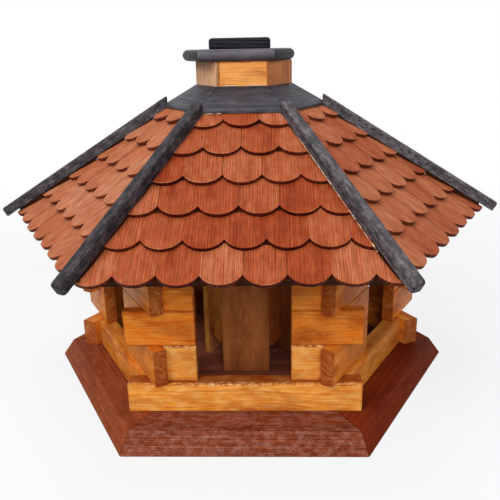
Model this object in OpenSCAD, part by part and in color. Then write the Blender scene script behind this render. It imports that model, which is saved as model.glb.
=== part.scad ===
// Hexagonal log-house bird feeder with a shingled roof and a lift-off lid.
// The feeder rests flat on z = 0 and its front wall faces -Y.
// Walls are counted 0 front, 1 left front, 2 left rear, 3 rear, 4 right rear, 5 right front.
// Walls 0, 2 and 4 are the front trio, walls 1, 3 and 5 are the rear trio.

/* [Base] */
// distance across the corners of the base
base_span = 520; // [440:1:620]
// thickness of the base boards
base_thickness = 23.5; // [16:0.5:36]
// plan width of the sloping outer edge of the base boards
base_slope_width = 13.2; // [6:0.1:30]
// height of the upright foot below the sloping edge
base_edge_height = 2.5; // [1:0.1:10]
// plan width of a base board
base_board_width = 85; // [75:1:110]
// width of the rebate under the base boards that takes the floor panel
rebate_width = 10; // [6:0.5:20]
// thickness of the floor panel
floor_thickness = 3; // [3:0.5:8]
// gap between the floor panel and the base boards
floor_gap = 0.5; // [0.2:0.1:2]

/* [Walls] */
// distance the log house stands behind the middle of the base
house_setback = 7.3; // [0:0.1:12]
// distance from the middle of the house to the inner face of a wall
wall_inside = 164; // [150:1:175]
// thickness of the lowest log of each wall
sill_thickness = 21.5; // [15:0.5:26]
// height of the lowest log of each wall
sill_height = 34.7; // [25:0.1:45]
// thickness of the upper logs
log_thickness = 15; // [10:0.5:21]
// height of the second row of logs
second_row_height = 42.8; // [30:0.1:50]
// height of the logs above the second row
log_height = 40.4; // [30:0.1:46]
// radius on the long edges of the logs
log_round = 2.5; // [1:0.1:5]
// half length of the crossing logs in the front trio of walls
front_trio_reach = 128; // [115:1:140]
// half length of the crossing logs in the rear trio of walls
rear_trio_reach = 120; // [115:1:140]
// reach of the crossing logs of the two walls beside the front, towards the rear
side_rear_reach = 151; // [115:1:160]
// width of the front window and of the windows at the rear
window_width = 102; // [60:1:110]
// width of the windows in the two walls beside the front
side_window_width = 90; // [60:1:96]
// distance the two side windows sit towards the rear
side_window_shift = 21; // [0:1:24]

/* [Roof] */
// distance from the middle of the roof to the tips of the lowest shingles
eave_reach = 260; // [230:1:290]
// height of the wall plates under the roof panels, at the inner face of the walls
plate_height = 39.1; // [30:0.1:50]
// slope of the roof in degrees
roof_slope = 37.1; // [35.5:0.1:39]
// length of each shingle left in view
shingle_exposure = 39.4; // [30:0.1:40]
// thickness of a shingle
shingle_thickness = 3; // [2:0.1:3.5]
// thickness of a roof panel
panel_thickness = 8; // [5:0.5:10]
// distance the roof panels stop short of the shingle tips
panel_setback = 8; // [4:0.5:15]

/* [Hip battens] */
// length a batten runs past the corner of the shingles, measured level
batten_overhang = 15.8; // [5:0.1:30]
// height of a batten's top over the shingle tips at its outer end
batten_outer_rise = 16.3; // [12:0.1:18]
// height of a batten's top over the shingle tips at the skirt
batten_inner_rise = 9.2; // [6:0.1:12]
// width of a batten
batten_width = 13; // [11:0.5:24]
// thickness of a batten
batten_thickness = 12; // [10:0.5:14]
// radius on the top edges of a batten
batten_round = 3; // [1:0.5:4]
// depth a batten is let into the shingles
batten_bite = 1.5; // [1:0.1:2]

/* [Skirt] */
// distance from the middle of the roof to the lower edge of the skirt
skirt_reach = 85.4; // [80:0.2:92]
// length of shingle hidden under the skirt
skirt_lap = 7; // [4:0.5:20]
// height of the skirt's lower edge over the line of the shingle tips
skirt_edge_rise = 1.4; // [0.5:0.1:4]
// drop of the skirt's top below the line of the shingle tips
skirt_top_drop = 2.2; // [1.5:0.1:6]

/* [Silo and collar] */
// distance from the middle to the outer faces of the collar and the short silo boards
collar_reach = 49.9; // [46:0.1:54]
// thickness of the silo boards and the collar boards
board_thickness = 9; // [6:0.5:11]
// gap between the tops of the silo boards, which carry the collar, and the roof panels
silo_top_gap = 1.4; // [0.6:0.1:16]
// height of the collar above the skirt
collar_height = 26.6; // [15:0.1:45]
// width of the long silo boards
long_board_width = 60; // [58:0.5:66]
// distance the long silo boards stand out past the faces of the collar
long_board_proud = 4.5; // [2:0.5:6]
// distance the front silo board sits towards the left
front_board_shift = 2.65; // [0:0.05:4]
// gap under the short silo boards where the seed runs out
seed_gap = 33; // [8:1:60]

/* [Lid] */
// overhang of the lid's side points past the corners of the collar
lid_side_overhang = 8.9; // [7:0.1:20]
// overhang of the lid's front and rear edges past the collar
lid_front_overhang = 6.1; // [3:0.1:15]
// length of the straight front edge of the lid
lid_front = 86; // [70:1:92]
// thickness of the lid
lid_thickness = 12.8; // [9:0.1:16]
// distance the lid lies towards the left
lid_shift = 6; // [0:0.5:8]
// length of the handle block
handle_length = 71; // [50:1:80]
// depth of the handle block
handle_depth = 40; // [20:1:60]
// height of the handle block
handle_height = 12.3; // [8:0.1:20]
// radius on the upper corners of the handle block
handle_round = 4; // [2:0.5:6]
// distance the handle block sits to the right of the middle of the lid
handle_shift = 2.5; // [0:0.5:5]
// least gap between the block that locates the lid and the collar
plug_gap = 5.4; // [5:0.1:12]
// height of the block that locates the lid
plug_height = 14; // [8:1:30]

/* [Hidden] */

$fn = 64;
// number of sides of the house
sides = 6;
side_angle = 360 / sides;
corner_angle = side_angle / 2;
// length that is longer than any board before it is trimmed
long = 2 * (base_span + eave_reach);
// height that is taller than the whole feeder
tall = long / 2;

base_reach = base_span / 2 * cos(corner_angle);
base_inside = base_reach - base_board_width;
rebate_reach = base_inside + rebate_width;

sill_top = base_thickness + sill_height;
third_row = sill_top + second_row_height;
wall_top = third_row + 3 * log_height;

// depth of the roof panel's top and underside below the shingle tips, square to the slope
bed_depth = 2 * shingle_thickness;
panel_depth = bed_depth + panel_thickness;
eave_height = wall_top + plate_height
    - (eave_reach - wall_inside) * tan(roof_slope) + panel_depth / cos(roof_slope);
slope_length = eave_reach / cos(roof_slope);
shingled_length = (eave_reach - skirt_reach) / cos(roof_slope) + skirt_lap;
shingle_rows = ceil(shingled_length / shingle_exposure);

skirt_edge_height = tip_line(skirt_reach) + skirt_edge_rise;
skirt_top = tip_line(collar_reach) - skirt_top_drop;
long_board_reach = collar_reach + long_board_proud;
silo_top = tenth(panel_underside(long_board_reach) - silo_top_gap);
silo_inside = collar_reach - board_thickness;
collar_top = tenth(skirt_top + collar_height);

batten_reach = eave_reach / cos(corner_angle) + batten_overhang;
batten_top = hip_line(batten_reach) + batten_outer_rise;
batten_run = batten_reach - skirt_reach / cos(corner_angle);
batten_climb = hip_line(batten_reach - batten_run) + batten_inner_rise - batten_top;
batten_slope = atan2(batten_climb, batten_run);
batten_length = (batten_reach - skirt_reach) / cos(batten_slope);

lid_length = 2 * (collar_reach / cos(corner_angle) + lid_side_overhang);
lid_depth = 2 * (collar_reach + lid_front_overhang);
lid_top = collar_top + lid_thickness;
plug_reach = silo_inside - plug_gap - lid_shift * cos(corner_angle);

// a height to the nearest tenth, for faces that two solids share
function tenth(height) = round(10 * height) / 10;
// height of the shingle tips at a distance from the middle, square to a side
function tip_line(reach) = eave_height + (eave_reach - reach) * tan(roof_slope);
// height of the shingle tips at a distance from the middle, along a corner
function hip_line(reach) = tip_line(reach * cos(corner_angle));
// height of the underside of the roof panels at a distance from the middle
function panel_underside(reach) = tip_line(reach) - panel_depth / cos(roof_slope);
// height of the underside of a row of logs, counted from 1 at the second row
function row_foot(row) = row == 1 ? sill_top : third_row + (row - 2) * log_height;
// height of a row of logs, counted from 1 at the second row
function row_height(row) = row == 1 ? second_row_height : log_height;

// ---- helpers ----

// turns the front side to the place of side i
module side(i) {
    rotate([0, 0, -side_angle * i]) children();
}

// turns the front wall to the place of wall i of the set-back house
module wall(i) {
    translate([0, house_setback, 0]) side(i) children();
}

// draws a profile of distance and height along the front side
module along_front() {
    rotate([90, 0, 90]) linear_extrude(height = long, center = true) children();
}

// the sixth of the plan that belongs to the front side
module front_sector() {
    half = tall * tan(corner_angle);
    linear_extrude(height = tall) polygon([[0, 0], [-half, -tall], [half, -tall]]);
}

// a profile run along the front side with mitred ends
module mitred_side() {
    intersection() {
        along_front() children();
        front_sector();
    }
}

// everything in front of the middle that lies inside the two neighbouring wall planes
module between_neighbours(reach) {
    half = reach / cos(corner_angle);
    linear_extrude(height = tall)
        polygon([[-half, 0], [0, -half / tan(corner_angle)], [half, 0]]);
}

// a hexagonal block with a front face at the reach
module hexagon_block(reach, height) {
    cylinder(r = reach / cos(corner_angle), h = height, $fn = sides);
}

// ---- base ----

// section of a base board with its sloping outer edge and the rebate under it
module base_section() {
    difference() {
        polygon([
            [-base_reach, 0], [-base_reach, base_edge_height],
            [-base_reach + base_slope_width, base_thickness],
            [-base_inside, base_thickness], [-base_inside, 0]
        ]);
        translate([-rebate_reach, 0]) square([rebate_reach, floor_thickness]);
    }
}

// three base boards that do not touch each other
module base_boards(first) {
    color("#7d3e2b")
    for (i = [first : 2 : first + 4]) side(i) mitred_side() base_section();
}

// floor of the house, let in under the base boards
module floor_panel() {
    color("#4a2020")
    hexagon_block(rebate_reach - floor_gap, floor_thickness);
}

// ---- log walls ----

// a log with rounded long edges, from x0 to x1 along the wall
module log_bar(x0, x1, thickness, height) {
    flat = log_round;
    translate([x0, -wall_inside - thickness, 0])
    rotate([90, 0, 90])
    linear_extrude(height = x1 - x0)
    union() {
        translate([flat, 0]) square([thickness - 2 * flat, height]);
        translate([0, flat]) square([thickness, height - 2 * flat]);
        for (x = [flat, thickness - flat]) for (y = [flat, height - flat])
            translate([x, y]) circle(r = log_round);
    }
}

// a log of an upper row, from x0 to x1 along the wall
module row_log(row, x0, x1) {
    translate([0, 0, row_foot(row)]) log_bar(x0, x1, log_thickness, row_height(row));
}

// the two logs of a row beside the window
module row_beside_window(row, left_reach, right_reach, width, middle) {
    row_log(row, -left_reach, middle - width / 2);
    row_log(row, middle + width / 2, right_reach);
}

// logs of wall i that run past the corners
module crossing_logs(i, left_reach, right_reach, first, width, middle) {
    color("#d98c3c")
    wall(i) {
        for (row = [first : 2 : 3])
            row_beside_window(row, left_reach, right_reach, width, middle);
        if (first == 2) row_log(4, -left_reach, right_reach);
    }
}

// logs of wall i that end against the crossing logs
module butting_logs(i, first, width, middle) {
    color("#cf8136")
    wall(i)
    intersection() {
        union() {
            for (row = [first : 2 : 3])
                row_beside_window(row, wall_inside, wall_inside, width, middle);
            if (first == 2) row_log(4, -wall_inside, wall_inside);
        }
        between_neighbours(wall_inside);
    }
}

// lowest logs of the front trio, run past the corners
module sills_front_trio() {
    color("#e0a050")
    for (i = [0 : 2 : 4]) wall(i)
        translate([0, 0, base_thickness])
            log_bar(-front_trio_reach, front_trio_reach, sill_thickness, sill_height);
}

// lowest logs of the rear trio, ended against the front trio
module sills_rear_trio() {
    color("#d99448")
    for (i = [1 : 2 : 5]) wall(i)
        intersection() {
            translate([0, 0, base_thickness])
                log_bar(-wall_inside, wall_inside, sill_thickness, sill_height);
            between_neighbours(wall_inside);
        }
}

// three wall plates on top of the walls, cut to the slope of the roof
module wall_plates(first) {
    color("#c97a35")
    for (i = [first : 2 : first + 4])
        intersection() {
            wall(i) mitred_side()
                translate([-wall_inside - log_thickness, wall_top])
                    square([log_thickness, tall - wall_top]);
            below_roof(i, panel_depth);
            below_roof(i - 1, panel_depth);
            below_roof(i + 1, panel_depth);
        }
}

// ---- silo and collar ----

// long boards of the silo, stood on the floor panel
module silo_boards_front_trio() {
    color("#8a5228")
    for (i = [0 : 2 : 4]) side(i)
        translate([
            -long_board_width / 2 - (i == 0 ? front_board_shift : 0),
            -long_board_reach, floor_thickness
        ])
            cube([long_board_width, board_thickness, silo_top - floor_thickness]);
}

// short boards of the silo between the long ones, ended above the floor to let the seed out
module silo_boards_rear_trio() {
    foot = floor_thickness + seed_gap;
    color("#70401e")
    for (i = [1 : 2 : 5]) side(i)
        intersection() {
            translate([-collar_reach, -collar_reach, foot])
                cube([2 * collar_reach, board_thickness, silo_top - foot]);
            between_neighbours(long_board_reach - board_thickness);
        }
}

// three mitred boards of the collar above the roof
module collar_boards(first) {
    color("#d88f3e")
    for (i = [first : 2 : first + 4]) side(i)
        mitred_side()
        translate([-collar_reach, silo_top]) square([board_thickness, collar_top - silo_top]);
}

// ---- roof ----

// places a profile on the slope, x up the slope and y square to it
module on_slope() {
    translate([-eave_reach, eave_height]) rotate(roof_slope) children();
}

// section of the stepped shingle rows
module shingle_section() {
    on_slope()
    difference() {
        union()
            for (row = [0 : shingle_rows - 1])
                translate([row * shingle_exposure, 0])
                    polygon([
                        [0, -bed_depth], [0, 0],
                        [shingle_exposure, -shingle_thickness], [shingle_exposure, -bed_depth]
                    ]);
        translate([shingled_length, -tall]) square([long, long]);
    }
}

// section of a roof panel, cut upright against the collar
module panel_section() {
    difference() {
        on_slope()
            translate([panel_setback, -panel_depth]) square([slope_length, panel_thickness]);
        translate([-collar_reach, 0]) square([collar_reach, tall]);
    }
}

// roof panel of side i
module roof_panel(i) {
    color("#8d5a34")
    side(i) mitred_side() panel_section();
}

// everything below a plane parallel to the roof of side i, down to the base
module below_roof(i, depth) {
    side(i)
    along_front()
    on_slope()
        translate([-tall / 2, -depth - tall / 2]) square([long, tall / 2]);
}

// hip batten on the right of side i, notched over the hip
module hip_batten(i) {
    color("#3e3f44")
    difference() {
        rotate([0, 0, -side_angle - side_angle * i])
        translate([batten_reach, 0, batten_top])
        rotate([0, batten_slope, 0])
        translate([-batten_length, -batten_width / 2, -batten_thickness])
        rotate([90, 0, 90])
        linear_extrude(height = batten_length)
        union() {
            square([batten_width, batten_thickness - batten_round]);
            translate([batten_round, 0]) square([batten_width - 2 * batten_round, batten_thickness]);
            for (x = [batten_round, batten_width - batten_round])
                translate([x, batten_thickness - batten_round]) circle(r = batten_round);
        }
        intersection() {
            below_roof(i, batten_bite);
            below_roof(i - 1, batten_bite);
        }
        hexagon_block(skirt_reach, tall);
    }
}

// stepped rows of shingles on side i, cut where the battens are let in
module shingles(i) {
    color("#b05a38")
    difference() {
        side(i) mitred_side() shingle_section();
        hip_batten(i);
        hip_batten(i + 1);
    }
}

// three boards of the sloping skirt round the foot of the collar
module skirt_boards(first) {
    color("#45464b")
    for (i = [first : 2 : first + 4]) side(i)
        mitred_side()
        difference() {
            polygon([
                [-collar_reach, skirt_top], [-skirt_reach, skirt_edge_height],
                [-skirt_reach, eave_height], [-collar_reach, silo_top]
            ]);
            on_slope() translate([0, -tall]) square([long, tall - bed_depth]);
            shingle_section();
        }
}

// ---- lid ----

// a slab with fully rounded long edges, its edge pair at the reach from the middle
module round_edged_slab(reach) {
    radius = lid_thickness / 2;
    along_front()
    union() {
        translate([-reach + radius, 0]) square([2 * (reach - radius), lid_thickness]);
        for (y = [-reach + radius, reach - radius]) translate([y, radius]) circle(r = radius);
    }
}

// six-sided lid with rounded edges
module lid_plate() {
    point_run = (lid_length - lid_front) / 2;
    turn = atan2(lid_depth / 2, point_run);
    point_reach = lid_length / 2 * sin(turn);
    color("#4b4c51")
    translate([-lid_shift, 0, collar_top])
    intersection() {
        round_edged_slab(lid_depth / 2);
        rotate([0, 0, turn]) round_edged_slab(point_reach);
        rotate([0, 0, -turn]) round_edged_slab(point_reach);
    }
}

// handle block on top of the lid
module lid_handle() {
    color("#2c2d34")
    translate([-lid_shift + handle_shift, 0, lid_top])
    rotate([90, 0, 0])
    linear_extrude(height = handle_depth, center = true)
    union() {
        translate([-handle_length / 2, 0]) square([handle_length, handle_height - handle_round]);
        translate([-handle_length / 2 + handle_round, 0])
            square([handle_length - 2 * handle_round, handle_height]);
        for (x = [-handle_length / 2 + handle_round, handle_length / 2 - handle_round])
            translate([x, handle_height - handle_round]) circle(r = handle_round);
    }
}

// block under the lid that keeps it over the collar
module lid_locating_block() {
    color("#8a5a30")
    translate([-lid_shift, 0, collar_top - plug_height])
        hexagon_block(plug_reach, plug_height);
}

// ---- nodes ----

base_boards(0);  // base_boards_front_trio
base_boards(1);  // base_boards_rear_trio
floor_panel();
sills_front_trio();
sills_rear_trio();
crossing_logs(0, front_trio_reach, front_trio_reach, 2, window_width, 0);  // front_wall_crossing_logs
butting_logs(0, 1, window_width, 0);  // front_wall_butting_logs
crossing_logs(1, side_rear_reach, rear_trio_reach, 1, side_window_width, -side_window_shift);  // left_front_wall_crossing_logs
butting_logs(1, 2, side_window_width, -side_window_shift);  // left_front_wall_butting_logs
crossing_logs(2, front_trio_reach, front_trio_reach, 2, window_width, 0);  // left_rear_wall_crossing_logs
butting_logs(2, 1, window_width, 0);  // left_rear_wall_butting_logs
crossing_logs(3, rear_trio_reach, rear_trio_reach, 1, window_width, 0);  // rear_wall_crossing_logs
butting_logs(3, 2, window_width, 0);  // rear_wall_butting_logs
crossing_logs(4, front_trio_reach, front_trio_reach, 2, window_width, 0);  // right_rear_wall_crossing_logs
butting_logs(4, 1, window_width, 0);  // right_rear_wall_butting_logs
crossing_logs(5, rear_trio_reach, side_rear_reach, 1, side_window_width, side_window_shift);  // right_front_wall_crossing_logs
butting_logs(5, 2, side_window_width, side_window_shift);  // right_front_wall_butting_logs
wall_plates(0);  // wall_plates_front_trio
wall_plates(1);  // wall_plates_rear_trio
silo_boards_front_trio();
silo_boards_rear_trio();
collar_boards(0);  // collar_boards_front_trio
collar_boards(1);  // collar_boards_rear_trio
roof_panel(0);  // roof_panel_front
roof_panel(1);  // roof_panel_left_front
roof_panel(2);  // roof_panel_left_rear
roof_panel(3);  // roof_panel_rear
roof_panel(4);  // roof_panel_right_rear
roof_panel(5);  // roof_panel_right_front
shingles(0);  // shingles_front
shingles(1);  // shingles_left_front
shingles(2);  // shingles_left_rear
shingles(3);  // shingles_rear
shingles(4);  // shingles_right_rear
shingles(5);  // shingles_right_front
hip_batten(0);  // hip_batten_front_right
hip_batten(1);  // hip_batten_front_left
hip_batten(2);  // hip_batten_left
hip_batten(3);  // hip_batten_rear_left
hip_batten(4);  // hip_batten_rear_right
hip_batten(5);  // hip_batten_right
skirt_boards(0);  // skirt_boards_front_trio
skirt_boards(1);  // skirt_boards_rear_trio
lid_plate();
lid_handle();
lid_locating_block();
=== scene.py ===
"""A hexagonal log-house bird feeder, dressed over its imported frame."""

from __future__ import annotations

import logging
import math
import random
from dataclasses import dataclass, field, replace
from enum import Enum
from typing import Any, Callable, Iterable, Mapping, Sequence

import bmesh
import bpy
from mathutils import Matrix, Vector

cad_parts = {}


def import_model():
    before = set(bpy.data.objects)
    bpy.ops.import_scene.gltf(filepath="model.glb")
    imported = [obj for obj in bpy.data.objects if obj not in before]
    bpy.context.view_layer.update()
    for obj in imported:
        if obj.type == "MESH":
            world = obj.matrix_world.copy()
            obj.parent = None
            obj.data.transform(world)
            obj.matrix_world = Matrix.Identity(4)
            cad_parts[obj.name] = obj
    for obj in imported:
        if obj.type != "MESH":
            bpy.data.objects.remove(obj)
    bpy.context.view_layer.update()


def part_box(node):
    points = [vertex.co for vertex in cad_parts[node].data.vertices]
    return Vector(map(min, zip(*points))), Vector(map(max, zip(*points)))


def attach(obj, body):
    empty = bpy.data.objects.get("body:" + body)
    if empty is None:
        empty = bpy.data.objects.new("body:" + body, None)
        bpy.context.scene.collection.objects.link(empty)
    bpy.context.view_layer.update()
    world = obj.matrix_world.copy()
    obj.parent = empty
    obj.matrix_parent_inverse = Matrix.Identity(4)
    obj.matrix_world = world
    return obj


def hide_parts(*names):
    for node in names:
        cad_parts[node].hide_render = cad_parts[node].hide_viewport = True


LOG = logging.getLogger("feeder")
MM = 0.001
TO_MM = 1000.0
CLOSE_M = 1e-6
SIDES = 6
MIDDLE_TONE = 0.4
HOUSE = "house"
LID = "lid"
UP = Vector((0, 0, 1))

# Node types that the finishes and the trees use often.
MATH = "ShaderNodeMath"
VECTOR = "ShaderNodeVectorMath"
BLEND = "ShaderNodeMix"
SPAN = "ShaderNodeMapRange"
SPLIT = "ShaderNodeSeparateXYZ"
JOIN = "ShaderNodeCombineXYZ"
NOISE = "ShaderNodeTexNoise"
WHERE = "ShaderNodeTexCoord"
READ = "ShaderNodeAttribute"
BUMP = "ShaderNodeBump"
SURFACE = "ShaderNodeBsdfPrincipled"
RESULT = "ShaderNodeOutputMaterial"
NAMED = "GeometryNodeInputNamedAttribute"
STORE = "GeometryNodeStoreNamedAttribute"
PLACE = "GeometryNodeSetPosition"
DRAW = "FunctionNodeRandomValue"
TURN = "FunctionNodeAlignRotationToVector"

Axes = tuple[Vector, Vector, Vector]
Range = tuple[float, float]
Size = tuple[float, float, float]
Colour = tuple[float, float, float, float]


class Spot(Enum):
    """A named part of the feeder, whose name the nodes spell in small letters."""

    @property
    def label(self) -> str:
        """The name as the nodes spell it."""
        return self.name.lower()


class Side(Spot):
    """The six sides of the house, counted clockwise from above."""

    FRONT = 0
    LEFT_FRONT = 1
    LEFT_REAR = 2
    REAR = 3
    RIGHT_REAR = 4
    RIGHT_FRONT = 5

    @property
    def turn(self) -> Matrix:
        """The turn about the upright axis that brings the front side here."""
        return Matrix.Rotation(-self.value * math.tau / SIDES, 3, "Z")


class Hip(Spot):
    """The six hips of the roof, counted clockwise from the right of the front side."""

    FRONT_RIGHT = 0
    FRONT_LEFT = 1
    LEFT = 2
    REAR_LEFT = 3
    REAR_RIGHT = 4
    RIGHT = 5

    @property
    def outward(self) -> Vector:
        """The level direction in which the hip runs down."""
        angle = -math.tau / SIDES * (1 + self.value)
        return Vector((math.cos(angle), math.sin(angle), 0))


class Trio(Spot):
    """The two halves of a ring of six boards."""

    FRONT = 0
    REAR = 1


class LogKind(Spot):
    """The two kinds of logs in a wall: across the corners, and between them."""

    CROSSING = 0
    BUTTING = 1


class Coordinates(Enum):
    """What a wood pattern follows."""

    BOARD = "board"
    OBJECT = "object"


WHITE: Colour = (1.0, 1.0, 1.0, 1.0)
NOT_FRONT = tuple(side for side in Side if side is not Side.FRONT)


# ---------------------------------------------------------------- nodes


def linear(code: str) -> Colour:
    """Turns an sRGB hex colour into linear light.

    Args:
        code: The colour as "#rrggbb".

    Returns:
        Red, green, blue and an alpha of 1.
    """
    parts = [int(code[i : i + 2], 16) / 255 for i in (1, 3, 5)]
    red, green, blue = (
        p / 12.92 if p <= 0.04045 else ((p + 0.055) / 1.055) ** 2.4 for p in parts
    )
    return red, green, blue, 1.0


def put(
    tree: bpy.types.NodeTree,
    kind: str,
    inputs: Mapping[int | str, Any] | Sequence[Any] = (),
    **settings: Any,
) -> bpy.types.Node:
    """Adds one node with its settings, values and links.

    Args:
        tree: The tree that gets the node.
        kind: The node's type name.
        inputs: Values, nodes or sockets, in order or by the name or number of
            the input. A node stands for its first output.
        settings: Properties of the node.

    Returns:
        The new node.
    """
    made = tree.nodes.new(kind)
    for key, value in settings.items():
        setattr(made, key, value)
    live = [socket for socket in made.inputs if socket.enabled]
    pairs = inputs.items() if isinstance(inputs, Mapping) else enumerate(inputs)
    for key, value in pairs:
        if isinstance(key, int):
            socket = live[key]
        else:
            socket = next(s for s in live if s.name == key)
        if isinstance(value, bpy.types.Node):
            value = next(s for s in value.outputs if s.enabled)
        if isinstance(value, bpy.types.NodeSocket):
            tree.links.new(value, socket)
        else:
            socket.default_value = value
    return made


def blank_material(name: str) -> bpy.types.Material:
    """Makes a material with an empty node tree.

    Args:
        name: The material's name.

    Returns:
        The material.
    """
    made = bpy.data.materials.new(name)
    made.use_nodes = True
    made.node_tree.nodes.clear()
    return made


def show(name: str, data: bpy.types.ID) -> bpy.types.Object:
    """Adds an object with its data to the scene.

    Args:
        name: The object's name.
        data: Its mesh, lamp or camera.

    Returns:
        The object.
    """
    made = bpy.data.objects.new(name, data)
    bpy.context.scene.collection.objects.link(made)
    return made


# ---------------------------------------------------------------- finishes

# Sizes of the wood patterns along, across and through a board, in millimetres.
SWAY_MM: Size = (120.0, 20.0, 20.0)
POOL_MM: Size = (55.0, 17.0, 17.0)
MOTTLE_MM: Size = (15.0, 7.0, 7.0)
SEAM_EDGE_MM: Size = (14.0, 3.0, 3.0)
SPECK_MM: Size = (1.7, 1.0, 1.0)
SPECK_PATCH_MM: Size = (9.0, 5.0, 5.0)
KNOT_MM: Size = (60.0, 34.0, 34.0)
TORN_PATCH_MM: Size = (46.0, 60.0, 60.0)
CHIP_MM: Size = (4.6, 3.0, 2.4)

# Where each mark starts and is whole within the pattern that it is cut from.
CLOUD: Range = (0.3, 0.7)
LATE_WOOD: Range = (0.38, 0.68)
POOLS: Range = (0.42, 0.7)
WORN_PATCHES: Range = (0.47, 0.6)
SPECKS: Range = (0.2, 0.38)
KNOTS: Range = (0.04, 0.12)
TORN_PATCHES: Range = (0.4, 0.55)
CHIPS: Range = (0.4, 0.62)
CHALK: Range = (0.4, 0.58)

# A board's tone shifts its patterns, starts its rings and draws its worn arrises.
TONE_SHIFT_MM: Size = (431.0, 173.0, 97.0)
RING_START = 90.0
WEAR_LOT = 7.31
# Heart of a piece that follows the object's coordinates: far below it.
FAR_HEART: Size = (38.0, -460.0, 0.3)


@dataclass
class BoardField:
    """What a wood finish knows about the point that it colours.

    Lengths are in millimetres, along the grain, across it and through the board.
    """

    place: Any
    seeded: Any
    tone: Any
    heart: Any
    end: Any = None
    inset: Any = None


def drawn_out(
    tree: bpy.types.NodeTree, place: Any, size_mm: Size, detail: float
) -> bpy.types.Node:
    """A cloudy pattern drawn out along the grain.

    Args:
        tree: The tree that gets the pattern.
        place: Where it is read, in millimetres.
        size_mm: Size of its features along, across and through the board.
        detail: How many finer layers it has.

    Returns:
        The pattern, mostly within CLOUD.
    """
    scale = tuple(1 / size for size in size_mm)
    near = put(tree, VECTOR, (place, scale), operation="MULTIPLY")
    return put(tree, NOISE, {"Vector": near, "Scale": 1.0, "Detail": detail})


@dataclass(frozen=True)
class TornArris:
    """Pale fibres torn out along the upper outer arris of a board.

    Distances run down from the top of the board, and in from its outer face.
    """

    strength: float = 0.0
    weakest: float = 0.25
    below_mm: Range = (1.2, 2.6)
    behind_mm: Range = (4.0, 6.5)
    tones: Range = (0.5, 0.55)
    top_mm: Range = (0.3, 0.7)
    inner_mm: Range = (2.5, 4.5)
    inner_share: float = 0.85

    def draw(
        self,
        tree: bpy.types.NodeTree,
        board: BoardField,
        body: bpy.types.Node,
        pale: Colour,
        brown: Colour,
    ) -> bpy.types.Node:
        """Draws the torn fibres over a colour.

        Args:
            tree: The tree that gets the nodes.
            board: The board's field.
            body: The colour so far.
            pale: Colour of the bare fibres.
            brown: Colour of the glaze between and behind them.

        Returns:
            The new colour.
        """
        half = put(tree, READ, attribute_name="half").outputs["Vector"]
        size = put(tree, VECTOR, (half, TO_MM), operation="SCALE")
        under = put(tree, VECTOR, (size, board.place), operation="SUBTRACT")
        below = put(tree, SPLIT, (under,)).outputs[2]
        past = put(tree, VECTOR, (size, board.place), operation="ADD")
        behind = put(tree, SPLIT, (past,)).outputs[1]
        low = put(tree, SPAN, (below, *self.below_mm, 1.0, 0.0))
        back = put(tree, SPAN, (behind, *self.behind_mm, 1.0, 0.0))
        # Only the palest logs, which took the glaze thinly, are torn.
        rough = put(tree, SPAN, (board.tone, *self.tones, 1.0, 0.0))
        patch = drawn_out(tree, board.seeded, TORN_PATCH_MM, 2.0)
        lot = put(tree, SPAN, (patch, *TORN_PATCHES, self.weakest, self.strength))
        edge = put(tree, MATH, (low, back), operation="MULTIPLY")
        torn = put(tree, MATH, (lot, rough), operation="MULTIPLY")
        zone = put(tree, MATH, (edge, torn), operation="MULTIPLY")
        chips = drawn_out(tree, board.seeded, CHIP_MM, 1.0)
        shown = put(tree, SPAN, (chips, *CHIPS, 0.0, 1.0))
        flecks = put(tree, BLEND, (shown, brown, pale), data_type="RGBA")
        # Behind the arris the rough top face drinks more glaze and turns brown.
        top = put(tree, SPAN, (below, *self.top_mm, 1.0, 0.0))
        inner = put(tree, SPAN, (behind, *self.inner_mm, 0.0, self.inner_share))
        face = put(tree, MATH, (top, inner), operation="MULTIPLY")
        share = put(tree, MATH, (face, rough), operation="MULTIPLY")
        soaked = put(tree, BLEND, (share, body, brown), data_type="RGBA")
        return put(tree, BLEND, (zone, soaked, flecks), data_type="RGBA")


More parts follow.
